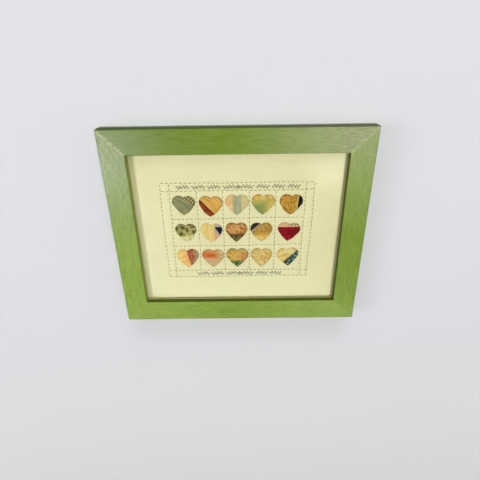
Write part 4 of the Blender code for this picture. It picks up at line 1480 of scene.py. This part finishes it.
HEARTS = (
    PatchHeart(1, -65.4, 33.4, 27.5, 24.8, -3, bows=(0.6, 1.4), scraps=(
        Scrap("main", "sage_cotton", SAGE, before=(CHECK_SEAM,)),
        Scrap("corner", "brown_check_cotton", BROWN_CHECK, past=(CHECK_SEAM,)),
    )),
    PatchHeart(2, -33.3, 31.9, 28.3, 26.5, -3, bows=(1.6, 1.3), scraps=(
        Scrap("main", "gold_cotton", GOLD, before=(RUST_SEAM,)),
        Scrap("band", "rust_cotton", RUST, past=(RUST_SEAM,)),
    )),
    PatchHeart(3, -2.0, 33.2, 28.4, 26.4, -1, bows=(0.5, 0.5), scraps=(
        Scrap("left", "peach_cotton", PEACH, past=(BAND_LEFT,)),
        Scrap("middle", "grey_blue_cotton", GREY_BLUE, before=(BAND_LEFT, BAND_RIGHT)),
        Scrap("right", "straw_cotton", STRAW, past=(BAND_RIGHT,)),
    )),
    PatchHeart(4, 29.1, 33.4, 28.1, 26.0, -2, bows=(1.1, 0.9), scraps=(
        Scrap("top", "gold_cotton", MEADOW_GOLD, past=(MEADOW_TOP,)),
        Scrap("main", "meadow_green_cotton", MEADOW, before=(MEADOW_TOP, MEADOW_SIDE)),
        Scrap("side", "gold_cotton", SIDE_GOLD, before=(MEADOW_TOP,), past=(MEADOW_SIDE,)),
    )),
    PatchHeart(5, 62.3, 33.1, 27.8, 26.1, -2, bows=(1.7, 1.0), scraps=(
        Scrap("main", "ochre_cotton", OCHRE, before=(INK_SEAM,)),
        Scrap("strip", "black_cotton", INK, past=(INK_SEAM,)),
    )),
    PatchHeart(6, -65.3, -2.4, 26.2, 24.2, -1, bows=(0.9, 2.5), scraps=(
        Scrap("main", "leafy_olive_cotton", LEAFY, before=(LEAF_SEAM,)),
        Scrap("base", "pale_lime_cotton", LIME, past=(LEAF_SEAM,)),
    )),
    PatchHeart(7, -34.2, -3.3, 27.2, 26.2, -3, bows=(0.6, 1.5), scraps=(
        Scrap("main", "cream_gold_cotton", CREAM_GOLD, before=(RIBBON_SEAM,)),
        Scrap("ribbon", "rose_stripe_cotton", ROSE, past=(RIBBON_SEAM,), before=(PLUM_SEAM,)),
        Scrap("corner", "dark_navy_cotton", PLUM, past=(RIBBON_SEAM, PLUM_SEAM)),
    )),
    PatchHeart(8, -3.1, -2.7, 27.2, 26.9, -1, bows=(0.4, 0.4), scraps=(
        Scrap("main", "russet_cotton", RUSSET, before=(RUSSET_SEAM,)),
        Scrap("tip", "moss_brown_cotton", MOSS, past=(RUSSET_SEAM,)),
    )),
    PatchHeart(9, 27.5, -2.6, 27.0, 25.5, 0, bows=(1.2, 1.6), scraps=(
        Scrap("corner", "dark_navy_cotton", NIGHT, past=(NIGHT_SEAM,)),
        Scrap("stripe", "misty_stripe_cotton", MIST, before=(NIGHT_SEAM,), past=(MIST_SEAM,)),
        Scrap("main", "gold_cotton", HONEY, before=(MIST_SEAM, HONEY_SEAM)),
        Scrap("base", "gold_cotton", PALE_HONEY, before=(MIST_SEAM,), past=(HONEY_SEAM,)),
    )),
    PatchHeart(10, 61.0, -2.8, 27.6, 25.4, -5, bows=(0.9, 0.9), scraps=(
        Scrap("top", "straw_cotton", CREAM_SPRIG, past=(CREAM_SEAM,)),
        Scrap("main", "crimson_cotton", CRIMSON, before=(CREAM_SEAM,)),
    )),
    PatchHeart(11, -65.1, -38.5, 27.8, 26.6, 2, bows=(1.2, 1.0), scraps=(
        Scrap("left", "peach_cotton", YELLOW_PEACH, before=(POSY_SEAM,)),
        Scrap("right", "red_floral_cotton", ROSES, past=(POSY_SEAM,)),
    )),
    PatchHeart(12, -33.3, -39.0, 28.2, 26.4, -1, bows=(0.5, 0.6), scraps=(
        Scrap("main", "coral_cotton", CORAL, before=(CORAL_BASE, CORAL_SIDE)),
        Scrap("side", "pale_sage_cotton", PALE_SAGE, before=(CORAL_BASE,), past=(CORAL_SIDE,)),
        Scrap("base", "pale_sage_cotton", BEIGE_STRIPE, past=(CORAL_BASE,)),
    )),
    PatchHeart(13, -2.6, -38.4, 28.2, 27.2, -1, bows=(0.6, 0.7), scraps=(
        Scrap("left", "ochre_cotton", AMBER, before=(FERN_SEAM, AMBER_SEAM)),
        Scrap("right", "russet_cotton", TANGERINE, before=(FERN_SEAM,), past=(AMBER_SEAM,)),
        Scrap("tip", "green_cotton", FERN, past=(FERN_SEAM,)),
    )),
    PatchHeart(14, 27.9, -38.6, 27.3, 26.9, -1, bows=(0.5, 1.3), scraps=(
        Scrap("main", "tan_cotton", TAN),
    )),
    PatchHeart(15, 61.4, -38.2, 27.8, 26.2, 4, scraps=(
        Scrap("main", "cream_gold_cotton", BUTTER, before=(STAR_SEAM,)),
        Scrap("band", "starry_blue_cotton", STARRY, past=(STAR_SEAM,)),
    )),
)


# The frame and what it holds


@dataclass(frozen=True)
class MitreFiller:
    """What fills the thin gap of each mitre: the moulding's section, as thick as the gap."""

    half_width: float = 150.5
    half_height: float = 125.0
    depth: float = 19.0
    rail_width: float = 28.0
    wall: float = 23.0
    shoulder: float = 9.5
    front_arris: float = 0.9
    back_arris: float = 0.4
    sink: float = 0.06
    thickness: float = 0.28

    def section(self) -> np.ndarray:
        """The moulding's section a little inside its skin, anticlockwise with x from the outer side.

        Each rounded corner is a quarter circle of the arris's radius about its own centre.
        """
        angle = np.linspace(0, math.pi / 2, 4)
        low, high = self.sink, self.depth - self.sink
        outer, lip = self.sink, self.rail_width - self.sink
        back, front = self.back_arris, self.front_arris
        corners = (
            (outer + back, low + back, back, math.pi),
            (lip - front, high - front, front, 0.0),
            (outer + front, high - front, front, math.pi / 2),
        )
        rounds = [
            np.stack([x + r * np.cos(a + angle), z + r * np.sin(a + angle)], axis=-1)
            for x, z, r, a in corners
        ]
        wall = self.wall - self.sink
        ledge = self.shoulder + self.sink
        inside = np.array([[wall, low], [wall, ledge], [lip, ledge]])
        return np.concatenate([rounds[0], inside, rounds[1], rounds[2]])

    def build(self) -> bpy.types.Object:
        """Makes the four wafers, each across the diagonal from its outer corner to the sight corner."""
        section = self.section()
        count = len(section)
        points, faces = [], []
        walls = sheet_faces(2, count, wrap=True)
        caps = np.stack([np.arange(count)[::-1], np.arange(count) + count])
        for number, (x, y) in enumerate(((1, 1), (-1, 1), (-1, -1), (1, -1))):
            corner = np.array([x * self.half_width, y * self.half_height, 0.0])
            inward = np.array([-x, -y, 0.0])
            normal = np.array([-y, x, 0.0]) / math.sqrt(2)
            skin = corner + section[:, :1] * inward + section[:, 1:] * [0, 0, 1]
            half = self.thickness / 2 * normal
            points.append(np.concatenate([skin - half, skin + half]))
            faces += [walls + number * 2 * count, caps + number * 2 * count]
        filler = WoodFiller().make()
        piece = add_piece("mitre_filler", np.concatenate(points), faces, filler, smooth=False)
        return piece


@dataclass(frozen=True)
class Frame:
    """The painted rails, the pane, the board and the steel points, which keep the solids' shapes."""

    # Each rail's lip has its own painted shade, lighter on the left rail; the bottom and left lips have a
    # painted light at their foot, and the pale streaks about the top corners are partly a painted sheen
    rails: tuple[BrushedPaint, ...] = (
        BrushedPaint(
            "top_rail", True, tones=(0.53, 0.64, 0.7, 0.68, 0.51), dry_and_sheen=(0.05, 0.0, 0.0, 0.34, 0.6),
            pale_worn_and_sheen="#d0c8a8",
        ),
        BrushedPaint(
            "bottom_rail", True, tones=(0.97, 0.96, 0.88, 0.97, 0.97), dry_and_sheen=(0.12, 0.04, 0.0, 0.1, 0.12),
            pale_lip_foot=2.4, lip_shade="#505f0c",
        ),
        BrushedPaint(
            "left_rail", False, tones=(0.98, 0.96, 0.89, 0.68, 0.46), dry_and_sheen=(0.08, 0.05, 0.1, 0.23, 0.32),
            pale_lip_foot=2.6, lip_shade="#94a142", streaky=0.8,
        ),
        BrushedPaint(
            "right_rail", False, tones=(0.95, 0.8, 0.8, 0.78, 0.6), dry_and_sheen=(0.06, 0.0, 0.0, 0.22, 0.52),
            lip_shade="#4c5a0e",
        ),
    )

    def dress(self) -> None:
        """Gives every solid of the frame its finish; each rail has its own tones along it."""
        finishes = {coat.rail: coat.make() for coat in self.rails}
        finishes |= {"glass_pane": PictureGlass().make(), "backing_board": Fibreboard().make()}
        steel = PlatedSteel().make()
        for name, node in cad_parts.items():
            finish = steel if "_point_" in name else finishes.get(name)
            if finish is None:
                continue
            if not node.material_slots:
                node.data.materials.append(finish)
            node.material_slots[0].material = finish
            LOG.info("dressed %s in %s", name, finish.name)


# The studio


class Lit(Enum):
    """What a soft light shines on: all of it, all but the floor, or the floor alone."""

    ALL = "all"
    OBJECT = "object"
    FLOOR = "floor"


@dataclass(frozen=True)
class SoftLight:
    """A flat soft light that faces the frame, in metres, and how bright its face is.

    It doesn't show in glossy paint. A mirrored one does, but not in the pane: it is a level white card
    that lights nothing.
    """

    name: str
    centre: Triple
    size: Pair
    brightness: float
    colour: str = "#ffffff"
    mirrored: bool = False
    lit: Lit = Lit.ALL

    def build(self, floor: bpy.types.Object) -> None:
        """Makes the light: its power is its brightness times pi times its area.

        Args:
            floor: the floor, which may be left out or be all that is lit.
        """
        light = bpy.data.lights.new(self.name, "AREA")
        light.shape = "RECTANGLE"
        light.size, light.size_y = self.size
        light.color = linear(self.colour)[:3]
        light.energy = self.brightness * math.pi * self.size[0] * self.size[1]
        lamp = bpy.data.objects.new(self.name, light)
        lamp.location = self.centre
        if not self.mirrored:
            lamp.rotation_euler = (-Vector(self.centre)).to_track_quat("-Z", "Y").to_euler()
        lamp.visible_camera = False
        lamp.visible_glossy = self.mirrored
        lamp.visible_diffuse = not self.mirrored
        bpy.context.scene.collection.objects.link(lamp)
        if self.mirrored or self.lit is not Lit.ALL:
            linked = bpy.data.collections.new(f"linked_to_{self.name}")
            linked.objects.link(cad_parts["glass_pane"] if self.mirrored else floor)
            state = "INCLUDE" if self.lit is Lit.FLOOR else "EXCLUDE"
            linked.collection_objects[0].light_linking.link_state = state
            lamp.light_linking.receiver_collection = linked


@dataclass(frozen=True)
class Studio:
    """The floor, the soft lights and the camera, which has the photograph's angle to the face."""

    world: str = "#e9ecf2"
    world_strength: float = 0.14
    # How bright the mirrored room is towards the frame's foot, elsewhere, and in the pane
    mirrored_low: float = 0.8
    mirrored_high: float = 0.04
    mirrored_in_pane: float = 0.06
    # The window's glares in the pane: each one's direction, its reach and its brightness
    glares: tuple[tuple[Triple, Triple, float], ...] = (
        ((0.26, -0.28, 0.0), (0.1, 0.06, 1e6), 1.4),
        ((-0.27, -0.46, 0.0), (0.09, 0.2, 1e6), 0.95),
    )
    backdrop: float = 0.75
    lights: tuple[SoftLight, ...] = (
        SoftLight("left_lamp", (-0.85, 0.06, 1.5), (0.12, 0.12), 360.0, "#ebe7ff", lit=Lit.OBJECT),
        SoftLight("overhead", (0.5, 0.55, 2.4), (0.8, 0.9), 13.6, "#fbfff0"),
        SoftLight("floor_wash", (0.0, 0.0, 3.0), (8.0, 8.0), 0.19, "#e4e0fb", lit=Lit.FLOOR),
        SoftLight("floor_left", (-1.6, 0.1, 1.0), (0.8, 0.8), 2.2, "#eae6f8", lit=Lit.FLOOR),
        SoftLight("floor_window", (0.0, 7.0, 2.4), (5.0, 2.0), 8.9, "#e8e1f2", lit=Lit.FLOOR),
        SoftLight("top_window", (0.1, 1.6, 1.25), (1.4, 0.9), 2.6, lit=Lit.OBJECT),
        SoftLight("right_fill", (2.0, 0.1, 0.9), (1.0, 0.6), 2.2),
        SoftLight("left_fill", (-2.0, 0.0, 1.0), (1.0, 0.6), 5.0),
        SoftLight("left_panel", (-0.9, -0.31, 1.5), (0.62, 0.34), 13.0, "#f2f0ff", mirrored=True),
        SoftLight("right_panel", (0.53, -0.15, 1.5), (0.5, 0.2), 4.6, "#eef0ff", mirrored=True),
        SoftLight("right_panel_low", (0.72, -0.35, 1.5), (0.24, 0.24), 1.7, "#eef0ff", mirrored=True),
    )
    floor_half: float = 1.5
    # The camera's lens and sensor in millimetres, and its place and axes in metres
    lens: float = 28.102
    sensor: float = 36.0
    eye: Triple = (0.0033, 0.19788, 0.42138)
    right: Triple = (0.99992, -0.01291, 0.00126)
    up: Triple = (0.01209, 0.89156, -0.45273)

    def camera(self) -> None:
        """Places the camera by its own axes: right, up, and back, which is their cross product."""
        data = bpy.data.cameras.new("camera")
        data.lens = self.lens
        data.sensor_width = self.sensor
        data.clip_start, data.clip_end = 0.01, 50.0
        camera = bpy.data.objects.new("camera", data)
        back = Vector(self.right).cross(Vector(self.up))
        axes = Matrix((self.right, self.up, back)).transposed().to_4x4()
        camera.matrix_world = Matrix.Translation(self.eye) @ axes
        bpy.context.scene.collection.objects.link(camera)
        bpy.context.scene.camera = camera

    def floor(self) -> bpy.types.Object:
        """The floor that the frame lies on: a level grid of a few quads."""
        half = self.floor_half / MM
        marks = np.linspace(-half, half, 9)
        x, y = np.meshgrid(marks, marks, indexing="xy")
        points = np.stack([x, y, np.zeros(x.shape)], axis=-1).reshape(-1, 3)
        floor = add_piece("floor", points, [sheet_faces(*x.shape)], StudioPaper().make())
        return floor

    def build(self) -> None:
        """Makes the camera, the floor, the world's even light and each soft light."""
        self.camera()
        floor = self.floor()
        world = bpy.data.worlds.new("studio")
        bpy.context.scene.world = world
        tree = NodeTree(world)
        # Glossy paint mirrors a room that is brighter towards the frame's foot; the pane mirrors a dark
        # one, but for the window's glare
        way = tree.add("TexCoord", out="Generated")
        height = tree.add("SeparateXYZ", [way], out="Y")
        mirrored = tree.add("MapRange", [height, -0.62, -0.22, self.mirrored_low, self.mirrored_high])
        ray = tree.add("LightPath", out=None)
        sharp = ray.outputs["Is Singular Ray"]
        mirrored = tree.add("Mix", {0: sharp, 2: mirrored, 3: self.mirrored_in_pane})
        for middle, reach, brightness in self.glares:
            away = tree.add("VectorMath", [way, middle], operation="SUBTRACT")
            away = tree.add("VectorMath", [away, reach], operation="DIVIDE")
            away = tree.add("VectorMath", [away], out="Value", operation="LENGTH")
            spot = [away, 0.2, 1.3, brightness, 0.0]
            spot = tree.add("MapRange", spot, interpolation_type="SMOOTHSTEP")
            spot = tree.add("Math", [spot, sharp], operation="MULTIPLY")
            mirrored = tree.add("Math", [mirrored, spot], operation="ADD")
        level = {0: ray.outputs["Is Glossy Ray"], 2: self.world_strength, 3: mirrored}
        level = tree.add("Mix", level)
        level = tree.add("Mix", {0: ray.outputs["Is Camera Ray"], 2: level, 3: self.backdrop})
        light = tree.add("Background", {"Color": linear(self.world), "Strength": level})
        tree.add("OutputWorld", {"Surface": light}, out=None)
        for soft in self.lights:
            soft.build(floor)
        bpy.context.scene.view_settings.view_transform = "Standard"


def main() -> None:
    """Dresses the frame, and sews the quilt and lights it."""
    logging.basicConfig(level=logging.INFO, format="%(name)s: %(message)s")
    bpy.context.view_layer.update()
    Frame().dress()
    MitreFiller().build()
    ground = QuiltGround(outlines=[heart.placed(heart.outline()) for heart in HEARTS])
    cream = Cotton(
        "cream quilting cotton", "#eadfb9", Print.SLUB, "#e8dcb3", repeat_mm=9.0, share=0.7, weave=0.35,
        edge=1.0, washes=(
            # Painted light: the cloth is painted paler towards its foot
            Wash(90, -110.0, 45.0, 30.0, "#f1e9c4", 0.6),
            # Painted shade: a dark band along the cloth beside the right lip
            Wash(0, 121.9, 1.3, 1.2, "#8a8350", 0.8),
        ),
    )
    cloth = ground.build(cream.make())
    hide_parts("quilt_ground")
    patches = [heart.build(scrap, ground) for heart in HEARTS for scrap in heart.scraps]
    sewing = Needlework(ground, HEARTS).build()
    for piece in [cloth, *patches, *sewing]:
        LOG.info("%s: %d faces", piece.name, len(piece.data.polygons))
    Studio().build()


if __name__ == "__main__":
    main()
